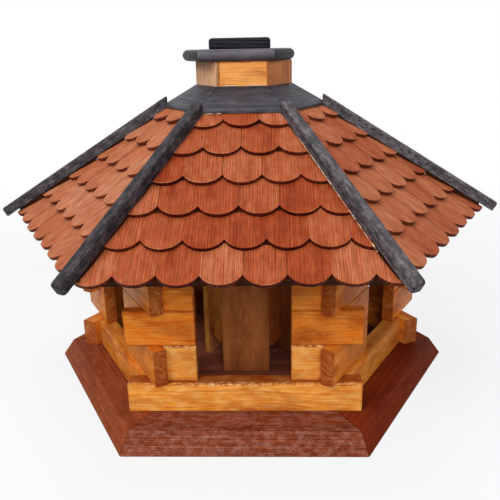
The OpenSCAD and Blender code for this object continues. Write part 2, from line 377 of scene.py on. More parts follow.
@dataclass(frozen=True)
class StainedWood:
    """Sawn softwood under a stain or glaze.

    The growth rings are uneven cylinders round a heart beside the board, so they
    run as lines along its faces and as arcs across its ends. The stain pools in
    blotches and along the arrises, and is worn through here and there on them.
    """

    name: str
    pale: str
    deep: str
    pooled: str
    end: str
    worn: str
    ring_mm: float = 4.0
    sway_mm: float = 8.0
    taper: float = 0.012
    fibre_mm: float = 0.8
    fibre_length: float = 45.0
    contrast: float = 0.8
    fibres: float = 0.14
    blotch: float = 0.4
    mottle: float = 0.0
    spread: float = 0.2
    seam: float = 0.6
    seam_mm: float = 1.8
    seam_reach: float = 2.4
    wear: float = 0.4
    wear_mm: float = 1.0
    wear_share: float = 0.6
    wear_patch_mm: Size = (24.0, 5.0, 5.0)
    torn: TornArris = TornArris()
    speckle: float = 0.0
    knots: float = 0.0
    end_share: float = 0.8
    roughness: float = 0.5
    roughness_spread: Range = (-0.07, 0.1)
    gloss: float = 0.22
    relief_mm: float = 0.25
    relief_strength: float = 0.9
    fibre_relief: float = 0.8
    coordinates: Coordinates = Coordinates.BOARD

    def material(self) -> bpy.types.Material:
        """Builds the material.

        Returns:
            The finished material.
        """
        made = blank_material(self.name)
        tree = made.node_tree
        board = self._board(tree)
        rings = self._rings(tree, board)
        thin = (self.fibre_mm * self.fibre_length, self.fibre_mm, self.fibre_mm)
        fibre = drawn_out(tree, board.seeded, thin, 3.0)
        colour = self._stain(tree, board, rings)
        colour = self._marks(tree, board, colour)
        colour = self._light(tree, board, colour, fibre)
        relief = (fibre, self.fibre_relief, rings)
        raised = put(tree, MATH, relief, operation="MULTIPLY_ADD")
        bump = put(
            tree,
            BUMP,
            {
                "Strength": self.relief_strength,
                "Distance": self.relief_mm * MM,
                "Height": raised,
            },
        )
        smooth, coarse = (min(self.roughness + d, 1.0) for d in self.roughness_spread)
        rough = put(tree, SPAN, (fibre, *CLOUD, smooth, coarse))
        shader = put(
            tree,
            SURFACE,
            {
                "Base Color": colour,
                "Roughness": rough,
                "Normal": bump,
                "Specular IOR Level": self.gloss,
            },
        )
        put(tree, RESULT, (shader,))
        return made

    def _board(self, tree: bpy.types.NodeTree) -> BoardField:
        """Reads the board's coordinates, heart, tone, end grain and nearest arris.

        Args:
            tree: The tree that gets the nodes.

        Returns:
            What the finish knows about the board.
        """
        if self.coordinates is Coordinates.OBJECT:
            where = put(tree, WHERE).outputs["Object"]
            place = put(tree, VECTOR, (where, TO_MM), operation="SCALE")
            heart = put(tree, JOIN, FAR_HEART)
            return BoardField(place, place, MIDDLE_TONE, heart)
        read = {
            key: put(tree, READ, attribute_name=key)
            for key in ("grain", "half", "pith", "tone", "end_grain", "rim")
        }
        place, half = (
            put(tree, VECTOR, (read[key].outputs["Vector"], TO_MM), operation="SCALE")
            for key in ("grain", "half")
        )
        tone, end, rim = (
            read[key].outputs["Fac"] for key in ("tone", "end_grain", "rim")
        )
        shift = put(tree, VECTOR, (TONE_SHIFT_MM, tone), operation="SCALE")
        seeded = put(tree, VECTOR, (place, shift), operation="ADD")
        size = put(tree, VECTOR, (place,), operation="ABSOLUTE")
        left = put(tree, VECTOR, (half, size), operation="SUBTRACT")
        gap = put(tree, SPLIT, (left,)).outputs
        tip = put(tree, MATH, (gap[0], rim), operation="MINIMUM")
        # The middle one of the three distances to a pair of faces is that to the arris.
        low, high = (
            put(tree, MATH, (gap[1], gap[2]), operation=kind)
            for kind in ("MINIMUM", "MAXIMUM")
        )
        other = put(tree, MATH, (high, tip), operation="MINIMUM")
        inset = put(tree, MATH, (low, other), operation="MAXIMUM")
        pith = read["pith"].outputs["Vector"]
        return BoardField(place, seeded, tone, pith, end, inset)

    def _rings(self, tree: bpy.types.NodeTree, board: BoardField) -> bpy.types.Node:
        """Growth rings as uneven bands, from 0 in early wood to 1 in late wood.

        Args:
            tree: The tree that gets the nodes.
            board: What is known about the board.

        Returns:
            The bands.
        """
        here = put(tree, SPLIT, (board.place,)).outputs
        heart = put(tree, SPLIT, (board.heart,)).outputs
        across = put(tree, MATH, (here[1], heart[0]), operation="SUBTRACT")
        above = put(tree, MATH, (here[2], heart[1]), operation="SUBTRACT")
        # The tree tapers, so the rings meet a flat face as long tongues.
        lean = (here[0], self.taper, above)
        tapered = put(tree, MATH, lean, operation="MULTIPLY_ADD")
        spoke = put(tree, JOIN, (across, tapered))
        radius = put(tree, VECTOR, (spoke,), operation="LENGTH")
        sway = drawn_out(tree, board.seeded, SWAY_MM, 2.0)
        bent = put(tree, MATH, (sway, self.sway_mm, radius), operation="MULTIPLY_ADD")
        start = put(tree, MATH, (heart[2], RING_START), operation="MULTIPLY")
        number = (bent, 1 / self.ring_mm, start)
        count = put(tree, MATH, number, operation="MULTIPLY_ADD")
        bands = put(
            tree,
            NOISE,
            {"W": count, "Scale": 1.0, "Detail": 2.0, "Roughness": 0.6},
            noise_dimensions="1D",
        )
        return put(tree, SPAN, (bands, *LATE_WOOD, 0.0, 1.0))

    def _stain(
        self, tree: bpy.types.NodeTree, board: BoardField, rings: bpy.types.Node
    ) -> bpy.types.Node:
        """Colours the rings, the blotches, the ends and the seams with pooled stain.

        Args:
            tree: The tree that gets the nodes.
            board: What is known about the board.
            rings: The growth rings, from 0 to 1.

        Returns:
            The stained colour.
        """
        pale, deep, pooled = map(linear, (self.pale, self.deep, self.pooled))
        share = put(tree, MATH, (rings, self.contrast), operation="MULTIPLY")
        body = put(tree, BLEND, (share, pale, deep), data_type="RGBA")
        cloud = drawn_out(tree, board.seeded, POOL_MM, 4.0)
        pool = put(tree, SPAN, (cloud, *POOLS, 0.0, self.blotch))
        if board.inset is not None:
            ragged = drawn_out(tree, board.seeded, SEAM_EDGE_MM, 3.0)
            widest = self.seam_mm * self.seam_reach
            reach = put(tree, MATH, (ragged, widest), operation="MULTIPLY")
            seam = put(tree, SPAN, (board.inset, 0.0, reach, self.seam, 0.0))
            pool = put(tree, MATH, (pool, seam), operation="MAXIMUM")
        body = put(tree, BLEND, (pool, body, pooled), data_type="RGBA")
        if board.end is not None:
            ends = put(tree, MATH, (board.end, self.end_share), operation="MULTIPLY")
            colours = (rings, linear(self.end), pooled)
            striped = put(tree, BLEND, colours, data_type="RGBA")
            body = put(tree, BLEND, (ends, body, striped), data_type="RGBA")
        return body

    def _marks(
        self, tree: bpy.types.NodeTree, board: BoardField, body: bpy.types.Node
    ) -> bpy.types.Node:
        """Adds the worn arrises, torn fibres, rubbed specks and knots.

        Args:
            tree: The tree that gets the nodes.
            board: What is known about the board.
            body: The colour so far.

        Returns:
            The new colour.
        """
        worn = linear(self.worn)
        if board.inset is not None and self.wear > 0:
            share = self._wear(tree, board)
            body = put(tree, BLEND, (share, body, worn), data_type="RGBA")
        if self.torn.strength > 0:
            body = self.torn.draw(tree, board, body, worn, linear(self.pooled))
        if self.speckle > 0:
            grit = drawn_out(tree, board.seeded, SPECK_MM, 2.0)
            patch = drawn_out(tree, board.seeded, SPECK_PATCH_MM, 2.0)
            both = put(tree, MATH, (grit, patch), operation="MULTIPLY")
            share = put(tree, SPAN, (both, *SPECKS, 0.0, self.speckle))
            body = put(tree, BLEND, (share, body, worn), data_type="RGBA")
        if self.knots > 0:
            scale = tuple(1 / size for size in KNOT_MM)
            near = put(tree, VECTOR, (board.seeded, scale), operation="MULTIPLY")
            cells = put(tree, "ShaderNodeTexVoronoi", {"Vector": near, "Scale": 1.0})
            share = put(tree, SPAN, (cells, *KNOTS, self.knots, 0.0))
            body = put(tree, BLEND, (share, body, linear(self.end)), data_type="RGBA")
        return body

    def _wear(self, tree: bpy.types.NodeTree, board: BoardField) -> bpy.types.Node:
        """How far the stain is worn off: along some arrises, and not on end grain.

        Args:
            tree: The tree that gets the nodes.
            board: What is known about the board.

        Returns:
            The worn share, from 0 to 1.
        """
        broken = drawn_out(tree, board.seeded, self.wear_patch_mm, 4.0)
        patch = put(tree, SPAN, (broken, *WORN_PATCHES, 0.0, self.wear))
        width = (board.inset, self.wear_mm * 0.4, self.wear_mm, 1.0, 0.0)
        line = put(tree, SPAN, width)
        mixed = put(tree, MATH, (board.tone, WEAR_LOT), operation="MULTIPLY")
        lot = put(tree, MATH, (mixed,), operation="FRACT")
        chance = (lot, 0.9 - self.wear_share, 1.0 - self.wear_share, 0.0, 1.0)
        chosen = put(tree, SPAN, chance)
        worn = put(tree, MATH, (patch, line), operation="MULTIPLY")
        share = put(tree, MATH, (worn, chosen), operation="MULTIPLY")
        if board.end is not None:
            face = put(tree, MATH, (1.0, board.end), operation="SUBTRACT")
            share = put(tree, MATH, (share, face), operation="MULTIPLY")
        return share

    def _light(
        self,
        tree: bpy.types.NodeTree,
        board: BoardField,
        body: bpy.types.Node,
        fibre: bpy.types.Node,
    ) -> bpy.types.Node:
        """Streaks the colour with the fibres and darkens it by stain and painted shade.

        Args:
            tree: The tree that gets the nodes.
            board: What is known about the board.
            body: The colour so far.
            fibre: The pattern of the fibres.

        Returns:
            The final colour.
        """
        streak = put(tree, SPAN, (fibre, *CLOUD, 1 - self.fibres, 1 + self.fibres))
        # A second coat of stain multiplies the colour by itself, so depth is a power.
        # The tone also carries the painted side shade and the painted shade under the
        # eaves.
        coats = (board.tone, self.spread, 1 - self.spread * MIDDLE_TONE)
        depth = put(tree, MATH, coats, operation="MULTIPLY_ADD")
        cloud = drawn_out(tree, board.seeded, MOTTLE_MM, 5.0)
        uneven = put(tree, SPAN, (cloud, *CLOUD, -self.mottle, self.mottle))
        depth = put(tree, MATH, (depth, uneven), operation="ADD")
        stained = put(tree, "ShaderNodeGamma", (body, depth))
        return put(tree, VECTOR, (stained, streak), operation="SCALE")


# Honey glaze over sawn pine: warm orange logs, blotchy, each a little different, with
# dark seams where the glaze gathers and torn fibres along the upper arrises.
HONEY = StainedWood(
    name="honey_glazed_pine",
    pale="#F0A248",
    deep="#D0722A",
    pooled="#9A4416",
    end="#B4703E",
    worn="#F0B46C",
    ring_mm=1.6,
    sway_mm=14.0,
    contrast=0.42,
    fibres=0.12,
    blotch=0.6,
    spread=0.7,
    seam=0.75,
    torn=TornArris(0.9),
    roughness=0.42,
    mottle=0.26,
    gloss=0.1,
)
# The same glaze without torn fibres, on the front and rear of the collar.
COLLAR_HONEY = replace(
    HONEY,
    name="honey_glazed_collar_pine",
    pale="#EEAA5E",
    deep="#D07C3C",
    torn=TornArris(),
    mottle=0.1,
)
# The same glaze on the upright boards of the collar: duller tan, straight grain.
TAN = StainedWood(
    name="tan_glazed_pine",
    pale="#E2AA7A",
    deep="#C4885A",
    pooled="#A8684A",
    end="#A8683C",
    worn="#D8AC7C",
    ring_mm=1.6,
    contrast=0.6,
    blotch=0.35,
    spread=0.6,
    roughness=0.5,
    gloss=0.1,
    mottle=0.15,
)
# Red-brown stain over weathered spruce, on the front base board: dark red, with raised
# ridges of grain that catch the light.
RED_BROWN = StainedWood(
    name="red_brown_stained_spruce",
    pale="#A25838",
    deep="#75331A",
    pooled="#5A2614",
    end="#64301E",
    worn="#C0968A",
    ring_mm=1.5,
    sway_mm=3.0,
    contrast=0.9,
    blotch=0.35,
    speckle=0.5,
    wear=0.2,
    relief_mm=0.5,
    roughness=0.6,
    spread=0.5,
    gloss=0.05,
    mottle=0.1,
)
# The same stain on the other base boards, which were planed: smooth and even.
SMOOTH_RED_BROWN = replace(
    RED_BROWN,
    name="red_brown_stained_planed_spruce",
    ring_mm=3.0,
    contrast=0.4,
    fibres=0.08,
    blotch=0.3,
    speckle=0.0,
    wear=0.1,
    relief_mm=0.15,
)
# Dark plum stain on the floor panel, seen through the windows.
PLUM = StainedWood(
    name="plum_stained_board",
    pale="#B06450",
    deep="#8C4C3A",
    pooled="#74402E",
    end="#42201A",
    worn="#7E4A3C",
    coordinates=Coordinates.OBJECT,
    gloss=0.05,
)
# Brown glaze over pine boards with small knots, for the seed silo.
BROWN = StainedWood(
    name="brown_glazed_pine",
    pale="#C37742",
    deep="#9F5934",
    pooled="#7B4122",
    end="#54280E",
    worn="#D09C64",
    ring_mm=4.0,
    contrast=0.35,
    knots=0.8,
    roughness=0.5,
    spread=0.6,
    gloss=0.12,
    mottle=0.1,
    blotch=0.5,
    fibres=0.1,
)
# Brick-red stain over split pine shingles: fine straight grooves down the slope, sawn
# edges near black, partly darker end grain and partly painted shade under the tips, and
# the odd tip rubbed pale.
BRICK = StainedWood(
    name="brick_stained_shingle_pine",
    pale="#C67A54",
    deep="#873E22",
    pooled="#8C4022",
    # Near black on the sawn edges: darker end grain, and painted shade under the tips.
    end="#280D06",
    worn="#E0A888",
    ring_mm=1.1,
    sway_mm=2.5,
    fibre_mm=0.6,
    contrast=0.62,
    fibres=0.3,
    blotch=0.4,
    spread=0.55,
    seam=0.3,
    seam_mm=0.8,
    wear=0.75,
    wear_mm=1.1,
    wear_share=0.3,
    end_share=0.95,
    relief_mm=0.35,
    roughness=0.58,
    gloss=0.1,
    wear_patch_mm=(60.0, 40.0, 40.0),
    fibre_length=20.0,
    mottle=0.16,
)
# Charcoal stain over rough laths: mottled purple grey where the coat has rubbed thin.
CHARCOAL = StainedWood(
    name="charcoal_stained_lath",
    pale="#403D41",
    deep="#26272B",
    pooled="#202126",
    end="#2A2B2F",
    worn="#8E8387",
    ring_mm=3.0,
    contrast=0.8,
    fibres=0.25,
    speckle=0.5,
    seam=0.4,
    wear=0.35,
    wear_mm=1.6,
    relief_mm=0.5,
    roughness=0.5,
    blotch=0.6,
    spread=0.3,
    gloss=0.15,
    mottle=0.12,
    end_share=0.95,
)
# Charcoal stain over planed board, smoother and more even than the laths.
SLATE = StainedWood(
    name="slate_stained_board",
    pale="#4C4A50",
    deep="#343339",
    pooled="#2A2A2E",
    end="#17181C",
    worn="#77737C",
    ring_mm=3.4,
    contrast=0.7,
    blotch=0.5,
    wear=0.5,
    wear_mm=1.4,
    speckle=0.12,
    roughness=0.48,
    gloss=0.12,
    end_share=0.95,
    mottle=0.1,
    spread=0.3,
)
# The same stain on the lid, paler on its faces and black on its end grain.
LID_SLATE = replace(
    SLATE,
    name="slate_stained_lid_board",
    pale="#615D63",
    deep="#45434A",
    pooled="#222226",
    end="#131417",
    blotch=0.3,
)
# Blue-black stain on the handle block, with raised grain along its length.
BLUE_BLACK = StainedWood(
    name="blue_black_stained_block",
    pale="#2A2934",
    deep="#101118",
    pooled="#0E0F14",
    end="#22232A",
    worn="#5A5A66",
    ring_mm=1.8,
    wear=0.3,
    relief_mm=0.4,
    roughness=0.42,
    gloss=0.1,
)
# Near-black red-brown on the roof panels, seen only from below and along the eaves, and
# on
# the hip packing strips: a dark stain and painted shade under the shingle tips and
# laths.
DARK_STAIN_AND_SHADE_BOARD = StainedWood(
    name="dark_stained_panel_board",
    pale="#3C1E10",
    deep="#2A130A",
    pooled="#200E07",
    end="#28130C",
    worn="#7A4A30",
    roughness=0.62,
    coordinates=Coordinates.OBJECT,
    gloss=0.04,
)
# Thin honey glaze on the hidden plates and the lid's locating block.
PLAIN = StainedWood(
    name="thinly_glazed_softwood",
    pale="#B57C46",
    deep="#8F5A2E",
    pooled="#7C4C28",
    end="#7C4C28",
    worn="#C89868",
    roughness=0.62,
    coordinates=Coordinates.OBJECT,
)



@dataclass(frozen=True)
class PaleFiller:
    """Dried wood filler and glue, pale and chalky, with a rough skin."""

    name: str = "pale_wood_filler"
    colour: str = "#E6D0B8"
    shade: str = "#C48A5C"
    grit_mm: float = 1.8
    relief_mm: float = 0.3
    roughness: float = 0.85

    def material(self) -> bpy.types.Material:
        """Builds the material.

        Returns:
            The finished material.
        """
        made = blank_material(self.name)
        tree = made.node_tree
        where = put(tree, WHERE).outputs["Object"]
        scale = TO_MM / self.grit_mm
        grit = put(tree, NOISE, {"Vector": where, "Scale": scale, "Detail": 3.0})
        share = put(tree, SPAN, (grit, *CHALK, 0.0, 1.0))
        colours = (share, linear(self.shade), linear(self.colour))
        colour = put(tree, BLEND, colours, data_type="RGBA")
        bump = put(tree, BUMP, {"Distance": self.relief_mm * MM, "Height": grit})
        shader = put(
            tree,
            SURFACE,
            {"Base Color": colour, "Roughness": self.roughness, "Normal": bump},
        )
        put(tree, RESULT, (shader,))
        return made


# ---------------------------------------------------------------- boards

# Edges that bend by more than this are eased, and by less than the other are flat.
EASED_FROM = 28.0
FLAT_BELOW = 0.6
# A distance that no wood finish takes for the nearness of an arris.
NO_RIM_MM = 1000.0


@dataclass(frozen=True)
class Sawing:
    """Where boards were sawn beside the heart, and how deep they took the stain.

    Painted side shade is tone added to the boards on some sides, darker or paler as
    light and shade fall there. The rise is painted shade under the eaves: how much
    darker each metre over the lowest board is.
    """

    seed: int
    tones: Range = (0.0, 1.0)
    aside_mm: Range = (-22.0, 22.0)
    beyond_mm: Range = (12.0, 46.0)
    # Painted side shade: tone added by side, darker where shade falls, paler where
    # light falls.
    painted_side_shade: Mapping[Side, float] = field(default_factory=dict)
    # Painted shade under the eaves: tone added for each metre over the lowest board.
    rise: float = 0.0


def nearest_side(place: Vector) -> Side:
    """The side that a place in plan belongs to."""
    angle = math.degrees(math.atan2(place.y, place.x))
    return Side(round((-90 - angle) / 60) % SIDES)


def wall_axes(side: Side) -> Axes:
    """Along the wall, into the house and up, for a side."""
    return side.turn @ Vector((1, 0, 0)), side.turn @ Vector((0, 1, 0)), UP.copy()


def lying_axes(middle: Vector) -> Axes:
    """The axes of a board that lies along the side nearest to its middle."""
    return wall_axes(nearest_side(middle))


def standing_axes(middle: Vector) -> Axes:
    """The axes of a board that stands on end at the side nearest to its middle."""
    along, inward, up = lying_axes(middle)
    return up, along, inward


def collar_axes(middle: Vector) -> Axes:
    """The front and rear collar boards lie along their sides, and the others stand."""
    lies = nearest_side(middle) in (Side.FRONT, Side.REAR)
    return lying_axes(middle) if lies else standing_axes(middle)


def middle_of(verts: Sequence[bmesh.types.BMVert]) -> Vector:
    """The mean place of some vertices."""
    return sum((v.co for v in verts), Vector()) / len(verts)


def islands(bm: bmesh.types.BMesh) -> list[list[bmesh.types.BMVert]]:
    """Groups the vertices that hang together.

    Args:
        bm: The mesh to look through.

    Returns:
        One list of vertices for each separate solid.
    """
    seen: set[int] = set()
    groups: list[list[bmesh.types.BMVert]] = []
    bm.verts.index_update()
    for start in bm.verts:
        if start.index in seen:
            continue
        seen.add(start.index)
        group, queue = [], [start]
        while queue:
            here = queue.pop()
            group.append(here)
            for edge in here.link_edges:
                other = edge.other_vert(here)
                if other.index not in seen:
                    seen.add(other.index)
                    queue.append(other)
        groups.append(group)
    return groups


def mark_grain(
    bm: bmesh.types.BMesh, axes_at: Callable[[Vector], Axes], sawing: Sawing
) -> None:
    """Writes each solid's own coordinates, heart and tone for the wood finishes.

    Args:
        bm: The mesh to mark.
        axes_at: Gives along, across and up for a solid with its middle at a place.
        sawing: Where its boards were sawn.
    """
    dice = random.Random(sawing.seed)
    vectors, floats = bm.verts.layers.float_vector, bm.verts.layers.float
    grain, half, pith = (vectors.new(key) for key in ("grain", "half", "pith"))
    tone, rim = (floats.new(key) for key in ("tone", "rim"))
    end = bm.faces.layers.float.new("end_grain")
    groups = islands(bm)
    middles = [middle_of(group) for group in groups]
    lowest = min(middle.z for middle in middles)
    for group, middle in zip(groups, middles):
        axes = axes_at(middle)
        spans = [[v.co.dot(axis) for v in group] for axis in axes]
        centre = [(min(s) + max(s)) / 2 for s in spans]
        size = Vector([(max(s) - min(s)) / 2 for s in spans])
        aside = dice.uniform(*sawing.aside_mm)
        beyond = dice.choice((-1, 1)) * dice.uniform(*sawing.beyond_mm)
        heart = Vector((aside, beyond, dice.random()))
        shade = dice.uniform(*sawing.tones)
        # Painted shade: darker or paler tone by side, and darker higher up under the
        # eaves.
        shade += sawing.painted_side_shade.get(nearest_side(middle), 0.0)
        shade += sawing.rise * (middle.z - lowest)
        for vert in group:
            vert[grain] = Vector([vert.co.dot(a) - c for a, c in zip(axes, centre)])
            vert[half] = size
            vert[pith] = heart
            vert[tone] = shade
            vert[rim] = NO_RIM_MM
        for face in {f for v in group for f in v.link_faces}:
            face[end] = 1.0 if abs(face.normal.dot(axes[0])) > 0.5 else 0.0


def to_object(
    bm: bmesh.types.BMesh, name: str, finish: bpy.types.Material, smooth: float = 32
) -> bpy.types.Object:
    """Turns a mesh into a linked object at the origin.

    Args:
        bm: The finished mesh, which is freed.
        name: The object's name.
        finish: The material on every face.
        smooth: Angle in degrees below which edges are shaded smooth.

    Returns:
        The new object.
    """
    mesh = bpy.data.meshes.new(name)
    bm.to_mesh(mesh)
    bm.free()
    mesh.materials.clear()
    mesh.materials.append(finish)
    for face in mesh.polygons:
        face.use_smooth = True
        face.material_index = 0
    mesh.set_sharp_from_angle(angle=math.radians(smooth))
    return show(name, mesh)


def merged(node: str) -> bmesh.types.BMesh:
    """Copies a frame node into a mesh with whole faces and joined corners.

    Args:
        node: The frame node's name.

    Returns:
        The mesh.
    """
    bm = bmesh.new()
    bm.from_mesh(bpy.data.objects[node].data)
    bmesh.ops.remove_doubles(bm, verts=bm.verts, dist=CLOSE_M)
    flat = math.radians(FLAT_BELOW)
    bmesh.ops.dissolve_limit(bm, angle_limit=flat, verts=bm.verts, edges=bm.edges)
    return bm


def cut(
    bm: bmesh.types.BMesh, place: Vector, normal: Vector, clear: bool = False
) -> None:
    """Cuts a mesh along a plane.

    Args:
        bm: The mesh.
        place: A place on the plane.
        normal: The direction square to the plane.
        clear: Whether what lies beyond the plane goes.
    """
    bmesh.ops.bisect_plane(
        bm,
        geom=bm.verts[:] + bm.edges[:] + bm.faces[:],
        plane_co=place,
        plane_no=normal,
        clear_outer=clear,
        dist=CLOSE_M,
    )


def board_piece(
    name: str,
    node: str,
    finish: bpy.types.Material,
    axes_at: Callable[[Vector], Axes],
    sawing: Sawing,
    ease_mm: float = 0.0,
    reshape: Callable[[bmesh.types.BMesh], None] | None = None,
) -> bpy.types.Object:
    """Makes dressed boards from a frame node, with eased edges and marked grain.

    Args:
        name: The piece's name.
        node: The frame node that it stands for.
        finish: The wood finish.
        axes_at: Gives along, across and up for a board with its middle at a place.
        sawing: Where its boards were sawn.
        ease_mm: Width of the eased edges in millimetres.
        reshape: A change to the boards before their edges are eased.

    Returns:
        The new piece.
    """
    bm = merged(node)
    if reshape:
        reshape(bm)
    if ease_mm > 0:
        sharp = math.radians(EASED_FROM)
        bmesh.ops.bevel(
            bm,
            geom=[e for e in bm.edges if e.is_manifold and e.calc_face_angle() > sharp],
            offset=ease_mm * MM,
            segments=2,
            profile=0.55,
            affect="EDGES",
            clamp_overlap=True,
        )
    bm.normal_update()
    mark_grain(bm, axes_at, sawing)
    return to_object(bm, name, finish)


def hand_over(
    piece: bpy.types.Object, body: str, nodes: Iterable[str] = ()
) -> None:
    """Ties a piece to its body and the nodes it stands for.

    Args:
        piece: The finished piece.
        body: The body that carries it.
        nodes: The frame nodes that it stands for.
    """
    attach(piece, body)
    stands_for = list(nodes)
    if stands_for:
        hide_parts(*stands_for)
    LOG.info("%s: %d faces on %s", piece.name, len(piece.data.polygons), body)


def repaint(node: str, finish: bpy.types.Material) -> None:
    """Gives a frame node its finish."""
    for holder in bpy.data.objects[node].material_slots:
        holder.material = finish
    LOG.info("%s: repainted", node)


@dataclass(frozen=True)
class BoardRing:
    """A ring of six boards, which the frame holds as a front and a rear trio.

    The boards on the other sides take a finish of their own.
    """

    kind: str
    slot: str
    sawing: Sawing
    ease_mm: float
    axes_at: Callable[[Vector], Axes] = lying_axes
    other_sides: tuple[Side, ...] = ()
    reshape: Callable[[bmesh.types.BMesh], None] | None = None

    def dress(
        self,
        trio: Trio,
        finish: bpy.types.Material,
        other: bpy.types.Material | None = None,
    ) -> None:
        """Dresses one half of the ring.

        Args:
            trio: The half.
            finish: The wood finish.
            other: The finish on the other sides.
        """
        node = f"{self.kind}_{trio.label}_trio"
        piece = board_piece(
            f"{trio.label}_{self.kind}",
            node,
            finish,
            self.axes_at,
            replace(self.sawing, seed=self.sawing.seed + trio.value),
            self.ease_mm,
            self.reshape,
        )
        if other:
            piece.data.materials.append(other)
            for face in piece.data.polygons:
                if nearest_side(face.center) in self.other_sides:
                    face.material_index = 1
        hand_over(piece, HOUSE, [node])


# ---------------------------------------------------------------- trees

# Spreads of the single shingles, in metres, radians and shares of their size.
TILT_SPREAD = ((-0.012, -0.005, -0.012), (0.002, 0.005, 0.012))
SIZE_SPREAD = ((0.998, 0.99, 0.96), (1.003, 1.0, 1.04))
NUDGE_SPREAD = ((-0.0001, -0.0004, -0.0001), (0.0001, 0.0012, 0.0003))
HEART_SPREAD = ((26.0, -30.0, 0.0), (90.0, 30.0, 1.0))
# A shingle's sheet: points across and along it, its crown and its eased tip.
SHEET_ACROSS = 17
SHEET_ALONG = 3
MIDDLE_ROW = 3.3
CROWN_PER_M = -0.8
TIP_EASE_M = 0.0005
AT_TIP_MM = 0.01
# A bead's lumps: how many in a metre, and its thinnest and thickest.
LUMPS_PER_M = 170.0
LUMPS: Range = (0.15, 1.2)


class Tree:
    """A Geometry Nodes tree with named inputs, baked on a carrier to a plain mesh."""

    def __init__(self, name: str, values: Mapping[str, float | int]) -> None:
        """Starts the tree.

        Args:
            name: The tree's name.
            values: The default of each named input.
        """
        self.group = bpy.data.node_groups.new(name, "GeometryNodeTree")
        face = self.group.interface
        for way in ("INPUT", "OUTPUT"):
            face.new_socket("Geometry", in_out=way, socket_type="NodeSocketGeometry")
        self.identifiers: dict[str, str] = {}
        for label, value in values.items():
            kind = "NodeSocketInt" if isinstance(value, int) else "NodeSocketFloat"
            made = face.new_socket(label, in_out="INPUT", socket_type=kind)
            made.default_value = value
            self.identifiers[label] = made.identifier
        self.given = put(self.group, "NodeGroupInput").outputs

    def end(self, shape: Any, finish: bpy.types.Material) -> None:
        """Closes the tree: instances made real and the material set.

        Args:
            shape: The node that gives the finished shape.
            finish: The material on it.
        """
        real = put(self.group, "GeometryNodeRealizeInstances", (shape,))
        dressed = {"Geometry": real, "Material": finish}
        painted = put(self.group, "GeometryNodeSetMaterial", dressed)
        put(self.group, "NodeGroupOutput", (painted,))

    def bake(
        self, mesh: bpy.types.Mesh, name: str, values: Mapping[str, float | int]
    ) -> bpy.types.Mesh:
        """Runs the tree on a mesh and gives the result as a plain mesh.

        Args:
            mesh: The carrier's mesh, such as guide lines.
            name: The result's name.
            values: The values of the named inputs.

        Returns:
            The plain mesh.
        """
        carrier = show(name, mesh)
        change = carrier.modifiers.new(name, "NODES")
        change.node_group = self.group
        for label, value in values.items():
            change[self.identifiers[label]] = value
        graph = bpy.context.evaluated_depsgraph_get()
        made = bpy.data.meshes.new_from_object(
            carrier.evaluated_get(graph), preserve_all_data_layers=True, depsgraph=graph
        )
        made.name = name
        carrier.modifiers.clear()
        bpy.data.objects.remove(carrier)
        return made


def line_mesh(name: str, ends: Sequence[Vector]) -> bpy.types.Mesh:
    """Draws separate straight lines, one between each two places in turn.

    Args:
        name: The mesh's name.
        ends: The two ends of each line.

    Returns:
        The mesh of lines.
    """
    mesh = bpy.data.meshes.new(name)
    mesh.from_pydata(ends, [(i, i + 1) for i in range(0, len(ends), 2)], [])
    return mesh


